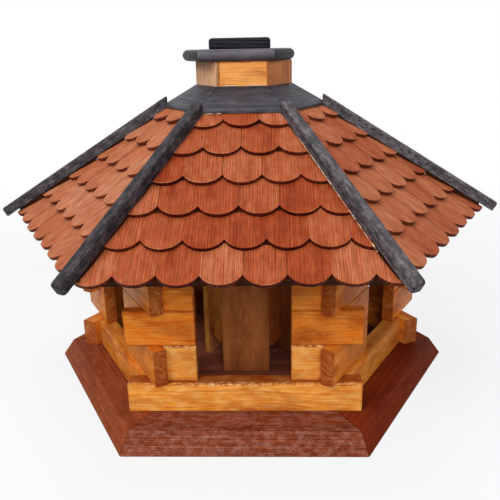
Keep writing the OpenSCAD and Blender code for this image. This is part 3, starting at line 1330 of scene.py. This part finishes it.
def shingle_tree(finish: bpy.types.Material) -> Tree:
    """Builds the tree that lays round-tipped shingles along guide lines.

    Each guide line carries the direction square to the roof as "square".

    Args:
        finish: The shingles' material.

    Returns:
        The tree.
    """
    sizes = {
        "Pitch": 0.0394,
        "Width": 0.0392,
        "Length": 0.058,
        "Thickness": 0.003,
        "Tip Radius": 0.0275,
        "Tip Corner": 0.0022,
        "Lay": 0.077,
        "Palest": 0.0,
        "Deepest": 1.0,
        "Seed": 1,
    }
    made = Tree("lay_shingles", sizes)
    tree, given = made.group, made.given
    closed = shingle_shape(tree, given)
    lines = put(tree, "GeometryNodeMeshToCurve", (given["Geometry"],))
    # A step a little under the pitch, so that the last shingle isn't lost.
    step = put(tree, MATH, (given["Pitch"], 0.999), operation="MULTIPLY")
    spacing = {"Curve": lines, "Length": step}
    points = put(tree, "GeometryNodeResampleCurve", spacing, mode="LENGTH")
    square = put(tree, NAMED, {"Name": "square"}, data_type="FLOAT_VECTOR")
    facing = put(tree, TURN, {"Vector": square}, axis="Z")
    tangent = put(tree, "GeometryNodeInputTangent")
    ways = {"Rotation": facing, "Vector": tangent}
    level = put(tree, TURN, ways, axis="X", pivot_axis="Z")
    spreads = {
        "tilt": TILT_SPREAD,
        "size": SIZE_SPREAD,
        "nudge": NUDGE_SPREAD,
        "tone": (given["Palest"], given["Deepest"]),
        "heart": HEART_SPREAD,
    }
    drawn = {}
    for number, (name, (low, high)) in enumerate(spreads.items()):
        seed = put(tree, MATH, (given["Seed"], float(number)), operation="ADD")
        kind = "FLOAT" if name == "tone" else "FLOAT_VECTOR"
        values = {"Min": low, "Max": high, "Seed": seed}
        drawn[name] = put(tree, DRAW, values, data_type=kind)
    back = put(tree, MATH, (given["Lay"], -1.0), operation="MULTIPLY")
    lay = put(tree, JOIN, (back,))
    tilt = put(tree, VECTOR, (drawn["tilt"], lay), operation="ADD")
    turned = put(tree, "FunctionNodeEulerToRotation", (tilt,))
    turn = put(
        tree,
        "FunctionNodeRotateRotation",
        {"Rotation": level, "Rotate By": turned},
        rotation_space="LOCAL",
    )
    laid = put(
        tree,
        "GeometryNodeInstanceOnPoints",
        {
            "Points": points,
            "Instance": closed,
            "Rotation": turn,
            "Scale": drawn["size"],
        },
    )
    shingles = put(
        tree,
        "GeometryNodeTranslateInstances",
        {"Instances": laid, "Translation": drawn["nudge"], "Local Space": True},
    )
    # Lengths and widths without end, so that only the round tip counts as an arris.
    for name, value, kind in (
        ("tone", drawn["tone"], "FLOAT"),
        ("pith", drawn["heart"], "FLOAT_VECTOR"),
        ("half", (1.0, 1.0, 0.0), "FLOAT_VECTOR"),
    ):
        shingles = put(
            tree,
            STORE,
            {"Geometry": shingles, "Name": name, "Value": value},
            data_type=kind,
            domain="INSTANCE",
        )
    made.end(shingles, finish)
    return made


def shingle_shape(tree: bpy.types.NodeTree, given: Any) -> bpy.types.Node:
    """Adds the nodes that shape one shingle, up along Y from its tip on the origin.

    Args:
        tree: The tree that gets the nodes.
        given: The tree's inputs.

    Returns:
        The node that gives the closed shingle.
    """
    grid = put(
        tree,
        "GeometryNodeMeshGrid",
        {
            "Size X": 1.0,
            "Size Y": 1.0,
            "Vertices X": SHEET_ACROSS,
            "Vertices Y": SHEET_ALONG,
        },
    )
    position = put(tree, "GeometryNodeInputPosition")
    place = put(tree, SPLIT, (position,)).outputs
    across = put(tree, MATH, (place[0], given["Width"]), operation="MULTIPLY")
    square = put(tree, MATH, (across, across), operation="MULTIPLY")
    radius = given["Tip Radius"]
    whole = put(tree, MATH, (radius, radius), operation="MULTIPLY")
    rest = put(tree, MATH, (whole, square), operation="SUBTRACT")
    reach = put(tree, MATH, (rest,), operation="SQRT")
    arc = put(tree, MATH, (radius, reach), operation="SUBTRACT")
    # The arc steepens towards the sides, with the sixth power of the distance.
    double = put(tree, MATH, (place[0], place[0]), operation="MULTIPLY")
    edge = put(tree, MATH, (double, 4.0), operation="MULTIPLY")
    sixth = put(tree, MATH, (edge, 3.0), operation="POWER")
    corner = (sixth, given["Tip Corner"], arc)
    foot = put(tree, MATH, corner, operation="MULTIPLY_ADD")
    share = put(tree, MATH, (place[1], 0.5), operation="ADD")
    # The middle row of points lies a little above the tip, so that the tip is eased.
    early = put(tree, MATH, (share, MIDDLE_ROW), operation="POWER")
    left = put(tree, MATH, (given["Length"], foot), operation="SUBTRACT")
    above = put(tree, MATH, (left, early), operation="MULTIPLY")
    up = put(tree, MATH, (foot, above), operation="ADD")
    crown = put(tree, MATH, (square, CROWN_PER_M), operation="MULTIPLY")
    shape = put(tree, JOIN, (across, up, crown))
    gone = put(tree, MATH, (above, TO_MM), operation="MULTIPLY")
    ringed = put(
        tree,
        STORE,
        {"Geometry": grid, "Name": "rim", "Value": gone},
        data_type="FLOAT",
        domain="POINT",
    )
    shaped = put(tree, PLACE, {"Geometry": ringed, "Position": shape})
    moved = put(tree, "GeometryNodeInputPosition")
    here = put(tree, SPLIT, (moved,)).outputs
    grain = put(tree, JOIN, (here[1], here[0], here[2]))
    grained = put(
        tree,
        STORE,
        {"Geometry": shaped, "Name": "grain", "Value": grain},
        data_type="FLOAT_VECTOR",
        domain="POINT",
    )
    height = put(tree, JOIN, (0.0, 0.0, given["Thickness"]))
    raised = put(
        tree,
        "GeometryNodeExtrudeMesh",
        {"Mesh": grained, "Offset": height, "Offset Scale": 1.0, "Individual": False},
        mode="FACES",
    )
    top, side = (raised.outputs[key] for key in ("Top", "Side"))
    # The sides are marked as end grain; the shingle finish paints them near black,
    # partly darker end grain and partly painted shade under the tips.
    sided = put(
        tree,
        STORE,
        {"Geometry": raised, "Name": "end_grain", "Value": side},
        data_type="FLOAT",
        domain="FACE",
    )
    rim = put(tree, NAMED, {"Name": "rim"}, data_type="FLOAT")
    at_tip = put(tree, MATH, (rim, AT_TIP_MM), operation="LESS_THAN")
    chosen = put(tree, "FunctionNodeBooleanMath", (top, at_tip), operation="AND")
    lower = (0.0, 0.0, -TIP_EASE_M)
    eased = put(tree, PLACE, {"Geometry": sided, "Selection": chosen, "Offset": lower})
    under = put(tree, "GeometryNodeFlipFaces", (grained,))
    both = put(tree, "GeometryNodeJoinGeometry")
    for half in (under, eased):
        tree.links.new(half.outputs[0], both.inputs[0])
    merge = {"Geometry": both, "Distance": 0.01 * MM}
    return put(tree, "GeometryNodeMergeByDistance", merge)


def bead_tree(finish: bpy.types.Material) -> Tree:
    """Builds the tree that squeezes a lumpy bead of filler along guide lines.

    Args:
        finish: The bead's material.

    Returns:
        The tree.
    """
    made = Tree("squeeze_bead", {"Radius": 0.0012, "Step": 0.0015, "Seed": 0.0})
    tree, given = made.group, made.given
    lines = put(tree, "GeometryNodeMeshToCurve", (given["Geometry"],))
    spacing = {"Curve": lines, "Length": given["Step"]}
    path = put(tree, "GeometryNodeResampleCurve", spacing, mode="LENGTH")
    length = put(tree, "GeometryNodeSplineParameter").outputs["Length"]
    along = put(tree, MATH, (length, given["Seed"]), operation="ADD")
    lumps = put(
        tree,
        NOISE,
        {"W": along, "Scale": LUMPS_PER_M, "Detail": 2.0},
        noise_dimensions="1D",
    )
    thick = put(tree, SPAN, (lumps, *CLOUD, *LUMPS))
    circle = {"Resolution": 8, "Radius": given["Radius"]}
    ring = put(tree, "GeometryNodeCurvePrimitiveCircle", circle, mode="RADIUS")
    tube = put(
        tree,
        "GeometryNodeCurveToMesh",
        {"Curve": path, "Profile Curve": ring, "Scale": thick, "Fill Caps": True},
    )
    made.end(tube, finish)
    return made


def bead(name: str, ends_m: Sequence[Vector], radius_mm: float, seed: float) -> None:
    """Squeezes beads of pale filler along lines and hands them over as one piece.

    Args:
        name: The piece's name.
        ends_m: The two ends of each bead, in metres.
        radius_mm: The beads' greatest thickness.
        seed: Start of the pattern of lumps.
    """
    tree = bead_tree(PaleFiller().material())
    sizes = {"Radius": radius_mm * MM, "Seed": seed}
    made = tree.bake(line_mesh(name, ends_m), name, sizes)
    hand_over(show(name, made), HOUSE)


# ---------------------------------------------------------------- base


@dataclass
class Plinth:
    """The mitred base boards and the floor panel in its rebate."""

    boards: BoardRing = BoardRing(
        "base_boards",
        "base_stain",
        Sawing(
            11,
            tones=(0.6, 0.8),
            aside_mm=(20, 45),
            beyond_mm=(25, 60),
            # Painted shade on the right and front, painted light on the left-front.
            painted_side_shade={
                Side.FRONT: 0.15,
                Side.LEFT_FRONT: -0.05,
                Side.RIGHT_FRONT: 0.7,
                Side.RIGHT_REAR: 0.3,
            },
        ),
        ease_mm=1.6,
        other_sides=NOT_FRONT,
    )

    def build(self) -> None:
        """Builds and dresses the base."""
        finish, planed = RED_BROWN.material(), SMOOTH_RED_BROWN.material()
        for trio in Trio:
            self.boards.dress(trio, finish, planed)
        repaint("floor_panel", PLUM.material())


# ---------------------------------------------------------------- log house


@dataclass
class LogHouse:
    """Six walls of logs that cross at the corners, on sills, under hidden plates."""

    ease_mm: float = 1.1
    sills: BoardRing = BoardRing(
        "sills",
        "honey_glaze",
        Sawing(
            23,
            tones=(0.38, 0.48),
            aside_mm=(14, 34),
            beyond_mm=(16, 40),
            # Painted side shade: the sills off the front are darker.
            painted_side_shade=dict.fromkeys(NOT_FRONT, 0.25),
        ),
        ease_mm=1.1,
    )
    logs: Sawing = Sawing(
        41, tones=(0.6, 0.9), aside_mm=(-30, 30), beyond_mm=(14, 46)
    )
    # The front's crossing logs are deep in tone and its butting logs darken upward by
    # the rise: partly their own tones, partly painted shade under the eaves.
    front_logs: dict[LogKind, dict[str, Any]] = field(
        default_factory=lambda: {
            LogKind.CROSSING: {"tones": (0.85, 1.0)},
            LogKind.BUTTING: {"tones": (0.34, 0.48), "rise": 6.0},
        }
    )

    def build(self) -> None:
        """Builds and dresses the walls."""
        finish = HONEY.material()
        for trio in Trio:
            self.sills.dress(trio, finish)
        for side in Side:
            for kind in LogKind:
                self._logs(side, kind, finish)
        plain = PLAIN.material()
        for trio in Trio:
            repaint(f"wall_plates_{trio.label}_trio", plain)

    def _logs(self, side: Side, kind: LogKind, finish: bpy.types.Material) -> None:
        """Dresses the crossing or the butting logs of one wall.

        Args:
            side: The wall's side.
            kind: Which of its logs.
            finish: The wood finish.
        """
        changes = self.front_logs[kind] if side is Side.FRONT else {}
        seed = self.logs.seed + side.value * len(LogKind) + kind.value
        node = f"{side.label}_wall_{kind.label}_logs"
        piece = board_piece(
            f"{side.label}_{kind.label}_logs",
            node,
            finish,
            lambda middle: wall_axes(side),
            replace(self.logs, seed=seed, **changes),
            self.ease_mm,
        )
        hand_over(piece, HOUSE, [node])


# ---------------------------------------------------------------- silo and collar


@dataclass
class SeedSilo:
    """The hexagonal shaft of boards for the seed, and the collar on top of it."""

    silo: BoardRing = BoardRing(
        "silo_boards",
        "silo_wood",
        Sawing(
            67,
            tones=(0.3, 0.5),
            aside_mm=(8, 30),
            beyond_mm=(14, 40),
            # Painted side shade: the right-front board darker.
            painted_side_shade={Side.LEFT_FRONT: 0.1, Side.RIGHT_FRONT: 0.6},
        ),
        ease_mm=0.8,
        axes_at=standing_axes,
        other_sides=(Side.LEFT_FRONT,),
    )
    collar: BoardRing = BoardRing(
        "collar_boards",
        "honey_glaze",
        Sawing(
            79,
            tones=(0.45, 0.6),
            aside_mm=(10, 30),
            beyond_mm=(14, 40),
            # Painted light on the left-front board, painted shade on the right-front.
            painted_side_shade={Side.LEFT_FRONT: -0.4, Side.RIGHT_FRONT: 0.6},
        ),
        ease_mm=1.2,
        axes_at=collar_axes,
        other_sides=tuple(s for s in NOT_FRONT if s is not Side.REAR),
    )
    open_joint_mm: float = 2.4
    joint_end_mm: float = 8.0
    glue_mm: tuple[Range, Range] = ((-25.0, -5.0), (2.5, 26.25))
    glue_out_mm: float = 0.2
    glue_over_mm: float = 0.3
    glue_radius_mm: float = 0.7
    glue_seed: float = 3.0

    def build(self) -> None:
        """Builds and dresses the silo and the collar."""
        collar = replace(self.collar, reshape=self._open_joint)
        brown, honey = BROWN.material(), HONEY.material()
        pale, tan = COLLAR_HONEY.material(), TAN.material()
        for trio in Trio:
            # The left-front silo board takes the paler honey finish as painted light on
            # that side.
            self.silo.dress(trio, brown, honey)
            collar.dress(trio, pale, tan)
        self._glue_line()

    def _open_joint(self, bm: bmesh.types.BMesh) -> None:
        """Draws the front board's left end in, which leaves a dark open joint."""
        for group in islands(bm):
            if nearest_side(middle_of(group)) is Side.FRONT:
                left = min(v.co.x for v in group)
                for vert in group:
                    if vert.co.x < left + self.joint_end_mm * MM:
                        vert.co.x += self.open_joint_mm * MM

    def _glue_line(self) -> None:
        """Runs a pale line of dried glue along the foot of the front collar board."""
        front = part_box("collar_boards_front_trio")[0][1]
        skirt_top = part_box("skirt_boards_front_trio")[1][2]
        y = front - self.glue_out_mm * MM
        z = skirt_top + self.glue_over_mm * MM
        ends = [Vector((x_mm * MM, y, z)) for line in self.glue_mm for x_mm in line]
        bead("collar_glue_line", ends, self.glue_radius_mm, self.glue_seed)


# ---------------------------------------------------------------- roof


@dataclass
class ShingledRoof:
    """Six roof panels under rows of round-tipped shingles, with laths over the hips."""

    eave_reach_mm: float = 260.0
    eave_height_mm: float = 206.25
    slope: float = 37.1
    exposure_mm: float = 39.4
    skirt_reach_mm: float = 85.4
    skirt_lap_mm: float = 6.0
    shingle_width_mm: float = 39.4
    shingle_gap_mm: float = 0.14
    shingle_length_mm: float = 58.0
    shingle_thickness_mm: float = 4.6
    shingle_seed: int = 100
    tip_corner_mm: float = 0.6
    tip_radius_mm: float = 22.8
    hip_gap_mm: float = 0.8
    starter_mm: float = 13.0
    lath_slope: float = 31.9
    lath_round_mm: float = 3.6
    lath_cuts: tuple[float, ...] = (0.12, 0.4, 1.0)
    lath_top_share: float = 0.7
    lath_reach_mm: float = 316.0
    lath_foot_mm: float = 200.2
    packing_width_mm: float = 9.6
    packing_reach_mm: Range = (106.0, 292.0)
    packing_deep_mm: float = 6.0
    packing_shoulder_mm: float = 4.0
    packing_crown_mm: float = 0.6
    packing_crown_share: float = 0.4
    skirt_filler_mm: Range = (-44.0, -22.0)
    skirt_filler_down_mm: float = 1.6
    skirt_filler_out_mm: float = -1.3
    lath_filler_mm: Range = (34.0, 176.0)
    lath_filler_aside_mm: float = 8.0
    lath_filler_out_mm: float = 0.4
    filler_radius_mm: float = 0.45
    filler_seed: float = 11.0
    bonds_mm: dict[Side, tuple[float, ...]] = field(
        default_factory=lambda: {
            Side.FRONT: (5.0, -13.1, -0.7, -17.8, 0.0, 19.2),
            Side.LEFT_FRONT: (-4.0, 16.0, -2.0, 21.0, 2.0, -17.0),
            Side.LEFT_REAR: (8.0, -13.0, 6.0, -15.0, 3.0, -20.0),
            Side.REAR: (0.0, 20.0, -2.0, 18.0, 1.0, -19.0),
            Side.RIGHT_REAR: (-7.0, 14.0, -5.0, 17.0, 0.0, 21.0),
            Side.RIGHT_FRONT: (3.0, -16.0, 2.0, -19.0, 5.0, -15.0),
        }
    )
    # Tones by side: the front's deep range is painted shade and the left-front's pale
    # range painted light, as the lamps fall on them.
    tones: dict[Side, Range] = field(
        default_factory=lambda: {
            Side.FRONT: (0.6, 1.5),
            Side.LEFT_FRONT: (0.2, 0.7),
            Side.RIGHT_FRONT: (0.4, 0.9),
        }
    )
    other_tones: Range = (0.35, 0.9)
    laths: Sawing = Sawing(131, tones=(0.3, 0.8), aside_mm=(6, 30), beyond_mm=(20, 50))
    # Painted light and shade by hip: the front-left lath darker, the front-right and
    # right laths paler where light falls on them.
    lath_painted_light_and_shade: dict[Hip, Range] = field(
        default_factory=lambda: {
            Hip.FRONT_LEFT: (1.5, 1.6),
            Hip.FRONT_RIGHT: (0.3, 0.4),
            Hip.RIGHT: (0.2, 0.3),
        }
    )
    skirt: BoardRing = BoardRing(
        "skirt_boards",
        "dark_stain",
        Sawing(151, tones=(0.6, 0.8), aside_mm=(20, 50), beyond_mm=(14, 30)),
        ease_mm=0.9,
    )

    def build(self) -> None:
        """Builds and dresses the roof."""
        # Near black: painted shade under the shingle tips, over a dark stain.
        dark = DARK_STAIN_AND_SHADE_BOARD.material()
        for side in Side:
            repaint(f"roof_panel_{side.label}", dark)
        self._shingles()
        self._laths()
        self._packing()
        slate = SLATE.material()
        for trio in Trio:
            self.skirt.dress(trio, slate)
        self._filler()

    @property
    def tilt(self) -> float:
        """The roof's slope in radians."""
        return math.radians(self.slope)

    @property
    def skirt_up_mm(self) -> float:
        """Distance up the slope from the eave to the skirt's edge."""
        return (self.eave_reach_mm - self.skirt_reach_mm) / math.cos(self.tilt)

    def on_roof(self, side: Side, x_mm: float, up_mm: float, out_mm: float) -> Vector:
        """A place on the roof, in metres.

        Args:
            side: The side of the roof.
            x_mm: Distance along the eave from the middle of the side.
            up_mm: Distance up the slope from the shingle tips of the lowest row.
            out_mm: Height over the line of the shingle tips, square to the slope.

        Returns:
            The place.
        """
        level, steep = math.cos(self.tilt), math.sin(self.tilt)
        reach = self.eave_reach_mm - up_mm * level + out_mm * steep
        height = self.eave_height_mm + up_mm * steep + out_mm * level
        return side.turn @ (Vector((x_mm, -reach, height)) * MM)

    def outward(self, side: Side) -> Vector:
        """The direction square to a side of the roof."""
        return side.turn @ Vector((0, -math.sin(self.tilt), math.cos(self.tilt)))

    def half_width(self, up_mm: float) -> float:
        """Half the width of a side at a distance up the slope, in millimetres."""
        reach = self.eave_reach_mm - up_mm * math.cos(self.tilt)
        return reach * math.tan(math.pi / SIDES)

    def _guides(self, side: Side) -> bpy.types.Mesh:
        """Draws a line for each row of a side, from its first to its last shingle.

        Args:
            side: The side of the roof.

        Returns:
            The guide lines, with the direction square to the roof.
        """
        ends: list[Vector] = []
        pitch, thick = self.shingle_width_mm, self.shingle_thickness_mm
        bonds = self.bonds_mm[side]
        rows = [
            (number * self.exposure_mm, -thick, bond)
            for number, bond in enumerate(bonds)
        ]
        rows.append((self.starter_mm, -2 * thick, bonds[1]))
        for up_mm, out_mm, bond in rows:
            if up_mm > self.skirt_up_mm:
                continue
            limit = self.half_width(up_mm) + pitch * 0.5
            middle = bond + pitch / 2
            last = middle + int((limit - middle) // pitch) * pitch
            first = middle - int((limit + middle) // pitch) * pitch
            ends += [self.on_roof(side, x_mm, up_mm, out_mm) for x_mm in (first, last)]
        mesh = line_mesh("guides", ends)
        layer = mesh.attributes.new("square", "FLOAT_VECTOR", "POINT")
        layer.data.foreach_set("vector", list(self.outward(side)) * len(ends))
        return mesh

    def _shingles(self) -> None:
        """Lays the shingles with Geometry Nodes and trims them at the hips."""
        finish = BRICK.material()
        tree = shingle_tree(finish)
        sizes = {
            "Pitch": self.shingle_width_mm * MM,
            "Width": (self.shingle_width_mm - self.shingle_gap_mm) * MM,
            "Length": self.shingle_length_mm * MM,
            "Thickness": self.shingle_thickness_mm * MM,
            "Tip Radius": self.tip_radius_mm * MM,
            "Tip Corner": self.tip_corner_mm * MM,
            "Lay": math.atan(self.shingle_thickness_mm / self.exposure_mm),
        }
        whole = bmesh.new()
        for side in Side:
            # Each side's tones carry its painted light and shade.
            low, high = self.tones.get(side, self.other_tones)
            seed = self.shingle_seed + side.value
            own = {"Palest": low, "Deepest": high, "Seed": seed}
            mesh = tree.bake(self._guides(side), "shingles", sizes | own)
            part = bmesh.new()
            part.from_mesh(mesh)
            self._trim(part, side)
            part.to_mesh(mesh)
            part.free()
            whole.from_mesh(mesh)
            bpy.data.meshes.remove(mesh)
        piece = to_object(whole, "roof_shingles", finish, smooth=38)
        nodes = [f"shingles_{side.label}" for side in Side]
        hand_over(piece, HOUSE, nodes)

    def _trim(self, part: bmesh.types.BMesh, side: Side) -> None:
        """Cuts a side's shingles along its two hips and under the skirt.

        Args:
            part: The side's shingles.
            side: The side of the roof.
        """
        bend = math.pi / SIDES
        cos, sin = math.cos(bend), math.sin(bend)
        hips = [side.turn @ Vector((sign * cos, sin, 0)) for sign in (-1, 1)]
        planes = [(-normal * self.hip_gap_mm * MM, normal) for normal in hips]
        under = Vector((0, -(self.skirt_reach_mm - self.skirt_lap_mm), 0))
        planes.append((side.turn @ under * MM, side.turn @ Vector((0, 1, 0))))
        for place, normal in planes:
            cut(part, place, normal, clear=True)
            rim = [e for e in part.edges if e.is_boundary]
            bmesh.ops.holes_fill(part, edges=rim, sides=0)
        bmesh.ops.recalc_face_normals(part, faces=part.faces)

    def lath_axes(self, middle: Vector) -> Axes:
        """Down a hip lath, across it and square to it, for a lath at a place.

        Args:
            middle: The middle of the lath.

        Returns:
            The three directions.
        """
        out = Vector((middle.x, middle.y, 0)).normalized()
        tilt = math.radians(self.lath_slope)
        along = out * math.cos(tilt) - Vector((0, 0, math.sin(tilt)))
        across = UP.cross(out)
        return along, across, along.cross(across)

    def _round_end(self, bm: bmesh.types.BMesh) -> None:
        """Rounds the sides and the top of a lath over towards its outer end.

        Args:
            bm: The lath's mesh, which is changed.
        """
        along, across, square = self.lath_axes(middle_of(bm.verts))
        far = max(v.co.dot(along) for v in bm.verts)
        radius = self.lath_round_mm * MM
        for share in self.lath_cuts:
            cut(bm, along * (far - share * radius), along)
        end = [v for v in bm.verts if far - v.co.dot(along) < radius - CLOSE_M]
        sides = [v.co.dot(across) for v in end]
        heights = [v.co.dot(square) for v in end]
        half = (max(sides) - min(sides)) / 2
        centre = (max(sides) + min(sides)) / 2
        foot, rise = min(heights), max(heights) - min(heights)
        for vert in end:
            left = radius - (far - vert.co.dot(along))
            inset = radius - math.sqrt(radius**2 - left**2)
            aside = (vert.co.dot(across) - centre) / half
            above = (vert.co.dot(square) - foot) / rise
            drop = square * above * inset * self.lath_top_share
            vert.co -= across * aside * inset + drop

    def _laths(self) -> None:
        """Dresses the six laths over the hips."""
        finish = CHARCOAL.material()
        for hip in Hip:
            node = f"hip_batten_{hip.label}"
            # The hip's tones paint its light and shade.
            tones = self.lath_painted_light_and_shade.get(hip, self.laths.tones)
            piece = board_piece(
                f"{hip.label}_hip_lath",
                node,
                finish,
                self.lath_axes,
                replace(self.laths, seed=self.laths.seed + hip.value, tones=tones),
                reshape=self._round_end,
            )
            hand_over(piece, HOUSE, [node])

    def _packing(self) -> None:
        """Packs the wedge between each lath and the hip with a dark tapered strip."""
        bm = bmesh.new()
        for hip in Hip:
            inner, outer = (
                [bm.verts.new(place) for place in self._section(hip, reach)]
                for reach in self.packing_reach_mm
            )
            bm.faces.new(inner)
            bm.faces.new(reversed(outer))
            count = len(inner)
            for i in range(count):
                j = (i + 1) % count
                bm.faces.new((inner[j], inner[i], outer[i], outer[j]))
        bmesh.ops.recalc_face_normals(bm, faces=bm.faces)
        # The strips' near-black finish is painted shade under the laths.
        piece = to_object(bm, "hip_packing_strips", DARK_STAIN_AND_SHADE_BOARD.material())
        hand_over(piece, HOUSE)

    def _section(self, hip: Hip, reach_mm: float) -> list[Vector]:
        """The corners of a packing strip, cut across at a distance from the middle.

        Args:
            hip: The hip that it lies on.
            reach_mm: The level distance from the feeder's middle.

        Returns:
            The corners in order, in metres.
        """
        bend = math.cos(math.pi / SIDES)
        down = self.eave_reach_mm / bend - reach_mm
        ridge = self.eave_height_mm + down * (math.tan(self.tilt) * bend)
        slant = math.tan(math.radians(self.lath_slope))
        top = self.lath_foot_mm + (self.lath_reach_mm - reach_mm) * slant
        foot = ridge - self.packing_deep_mm
        shoulder = max(top, ridge - self.packing_shoulder_mm)
        crown = max(top + self.packing_crown_mm, ridge)
        half = self.packing_width_mm / 2
        flat = half * self.packing_crown_share
        corners = (
            (-half, foot),
            (half, foot),
            (half, shoulder),
            (flat, crown),
            (-flat, crown),
            (-half, shoulder),
        )
        aside = UP.cross(hip.outward)
        middle = hip.outward * reach_mm
        return [(middle + aside * x + UP * z) * MM for x, z in corners]

    def _filler(self) -> None:
        """Leaves streaks of filler under the skirt's front and beside a front lath."""
        down = self.skirt_up_mm - self.skirt_filler_down_mm
        ends = [
            self.on_roof(Side.FRONT, x_mm, down, self.skirt_filler_out_mm)
            for x_mm in self.skirt_filler_mm
        ]
        for up_mm in self.lath_filler_mm:
            x_mm = self.half_width(up_mm) - self.lath_filler_aside_mm
            ends.append(self.on_roof(Side.FRONT, x_mm, up_mm, self.lath_filler_out_mm))
        bead("roof_filler_streaks", ends, self.filler_radius_mm, self.filler_seed)


# ---------------------------------------------------------------- lid


@dataclass
class Lid:
    """The loose lid with its handle block."""

    ease_mm: float = 1.4
    plate: Sawing = Sawing(171, tones=(0.4, 0.5), aside_mm=(30, 40), beyond_mm=(40, 60))
    block: Sawing = Sawing(173, tones=(0.6, 0.7), aside_mm=(20, 30), beyond_mm=(12, 20))

    def build(self) -> None:
        """Builds and dresses the lid."""
        for name, node, slot, wood, sawing in (
            ("round_edged_lid", "lid_plate", "dark_stain", LID_SLATE, self.plate),
            ("lid_handle_block", "lid_handle", "handle_stain", BLUE_BLACK, self.block),
        ):
            piece = board_piece(
                name,
                node,
                wood.material(),
                lambda middle: wall_axes(Side.FRONT),
                sawing,
                self.ease_mm,
            )
            hand_over(piece, LID, [node])
        repaint("lid_locating_block", PLAIN.material())


# ---------------------------------------------------------------- studio

AIM_M: Size = (0.0, 0.0, 0.18)


@dataclass(frozen=True)
class Lamp:
    """One square soft lamp, aimed at the feeder."""

    name: str
    place_m: Size
    size_m: float
    watts: float

    def hang(self) -> None:
        """Hangs the lamp."""
        data = bpy.data.lights.new(self.name, "AREA")
        data.size = self.size_m
        data.energy = self.watts
        place = Vector(self.place_m)
        turn = (Vector(AIM_M) - place).to_track_quat("-Z", "Y").to_matrix().to_4x4()
        show(self.name, data).matrix_world = Matrix.Translation(place) @ turn


@dataclass
class Studio:
    """The pale floor, the soft lamps and the camera."""

    lens_mm: float = 43.92
    sensor_mm: float = 36.0
    clip_m: Range = (0.01, 60.0)
    place_m: Size = (0.0297, -0.7570, 0.4061)
    pan: float = 2.019
    pitch: float = 18.56
    roll: float = -1.179
    floor_m: float = 14.0
    ambient: float = 0.2
    floor_glow: float = 0.8
    glow_grows_m: Range = (0.55, 1.3)
    floor_grey: float = 0.8
    bounce_grey: float = 0.32
    lamps: tuple[Lamp, ...] = (
        Lamp("key", (-1.2, -1.8, 2.15), 1.3, 44.0),
        Lamp("front_fill", (0.3, -2.1, 1.15), 0.9, 24.0),
        Lamp("side_fill", (2.4, -1.5, 1.5), 2.0, 4.5),
        Lamp("top", (-0.2, 0.25, 2.5), 1.2, 18.0),
    )

    def build(self) -> None:
        """Sets the stage."""
        self._camera()
        self._world()
        self._floor()
        for lamp in self.lamps:
            lamp.hang()

    def _camera(self) -> None:
        """Places the camera."""
        data = bpy.data.cameras.new("camera")
        data.lens = self.lens_mm
        data.sensor_width = self.sensor_mm
        data.clip_start, data.clip_end = self.clip_m
        camera = show("camera", data)
        camera.matrix_world = (
            Matrix.Translation(self.place_m)
            @ Matrix.Rotation(math.radians(self.pan), 4, "Z")
            @ Matrix.Rotation(math.radians(90 - self.pitch), 4, "X")
            @ Matrix.Rotation(math.radians(self.roll), 4, "Z")
        )
        bpy.context.scene.camera = camera

    def _shown(self, tree: bpy.types.NodeTree) -> bpy.types.Node:
        """1 where the camera, a reflection or a transmission looks, 0 elsewhere.

        Args:
            tree: The tree that gets the nodes.

        Returns:
            The node that gives the share.
        """
        path = put(tree, "ShaderNodeLightPath").outputs
        rays = (path["Is Glossy Ray"], path["Is Transmission Ray"])
        mirror = put(tree, MATH, rays, operation="MAXIMUM")
        return put(tree, MATH, (path["Is Camera Ray"], mirror), operation="MAXIMUM")

    def _world(self) -> None:
        """Lights the scene softly and shows white to the camera and in reflections."""
        world = bpy.data.worlds.new("studio")
        bpy.context.scene.world = world
        world.use_nodes = True
        tree = world.node_tree
        tree.nodes.clear()
        soft, white = (
            put(tree, "ShaderNodeBackground", (WHITE, level))
            for level in (self.ambient, 1.0)
        )
        both = put(tree, "ShaderNodeMixShader", (self._shown(tree), soft, white))
        put(tree, "ShaderNodeOutputWorld", (both,))

    def _floor(self) -> None:
        """Lays the pale floor, white to the camera where it is unshaded."""
        mesh = bpy.data.meshes.new("floor")
        half = self.floor_m / 2
        around = ((-1, -1), (1, -1), (1, 1), (-1, 1))
        corners = [(x * half, y * half, 0) for x, y in around]
        mesh.from_pydata(corners, [], [(0, 1, 2, 3)])
        floor = show("floor", mesh)
        made = blank_material("pale_studio_floor")
        tree = made.node_tree
        shown = self._shown(tree)
        dull, pale = ((g, g, g, 1.0) for g in (self.bounce_grey, self.floor_grey))
        colour = put(tree, BLEND, (shown, dull, pale), data_type="RGBA")
        paint = put(tree, "ShaderNodeBsdfDiffuse", (colour,))
        glow = put(tree, "ShaderNodeEmission", (WHITE, 1.0))
        # The glow grows to plain white away from the feeder, where no shadow falls.
        where = put(tree, WHERE).outputs["Object"]
        away = put(tree, VECTOR, (where,), operation="LENGTH")
        level = put(tree, SPAN, (away, *self.glow_grows_m, self.floor_glow, 1.0))
        share = put(tree, MATH, (shown, level), operation="MULTIPLY")
        both = put(tree, "ShaderNodeMixShader", (share, paint, glow))
        put(tree, RESULT, (both,))
        mesh.materials.append(made)


# ---------------------------------------------------------------- build


def main() -> None:
    """Builds the whole feeder."""
    logging.basicConfig(level=logging.INFO, format="%(name)s: %(message)s")
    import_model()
    bpy.context.scene.view_settings.view_transform = "Standard"
    for part in (Studio(), Plinth(), LogHouse(), SeedSilo(), ShingledRoof(), Lid()):
        part.build()
    bpy.context.view_layer.update()


if __name__ == "__main__":
    main()
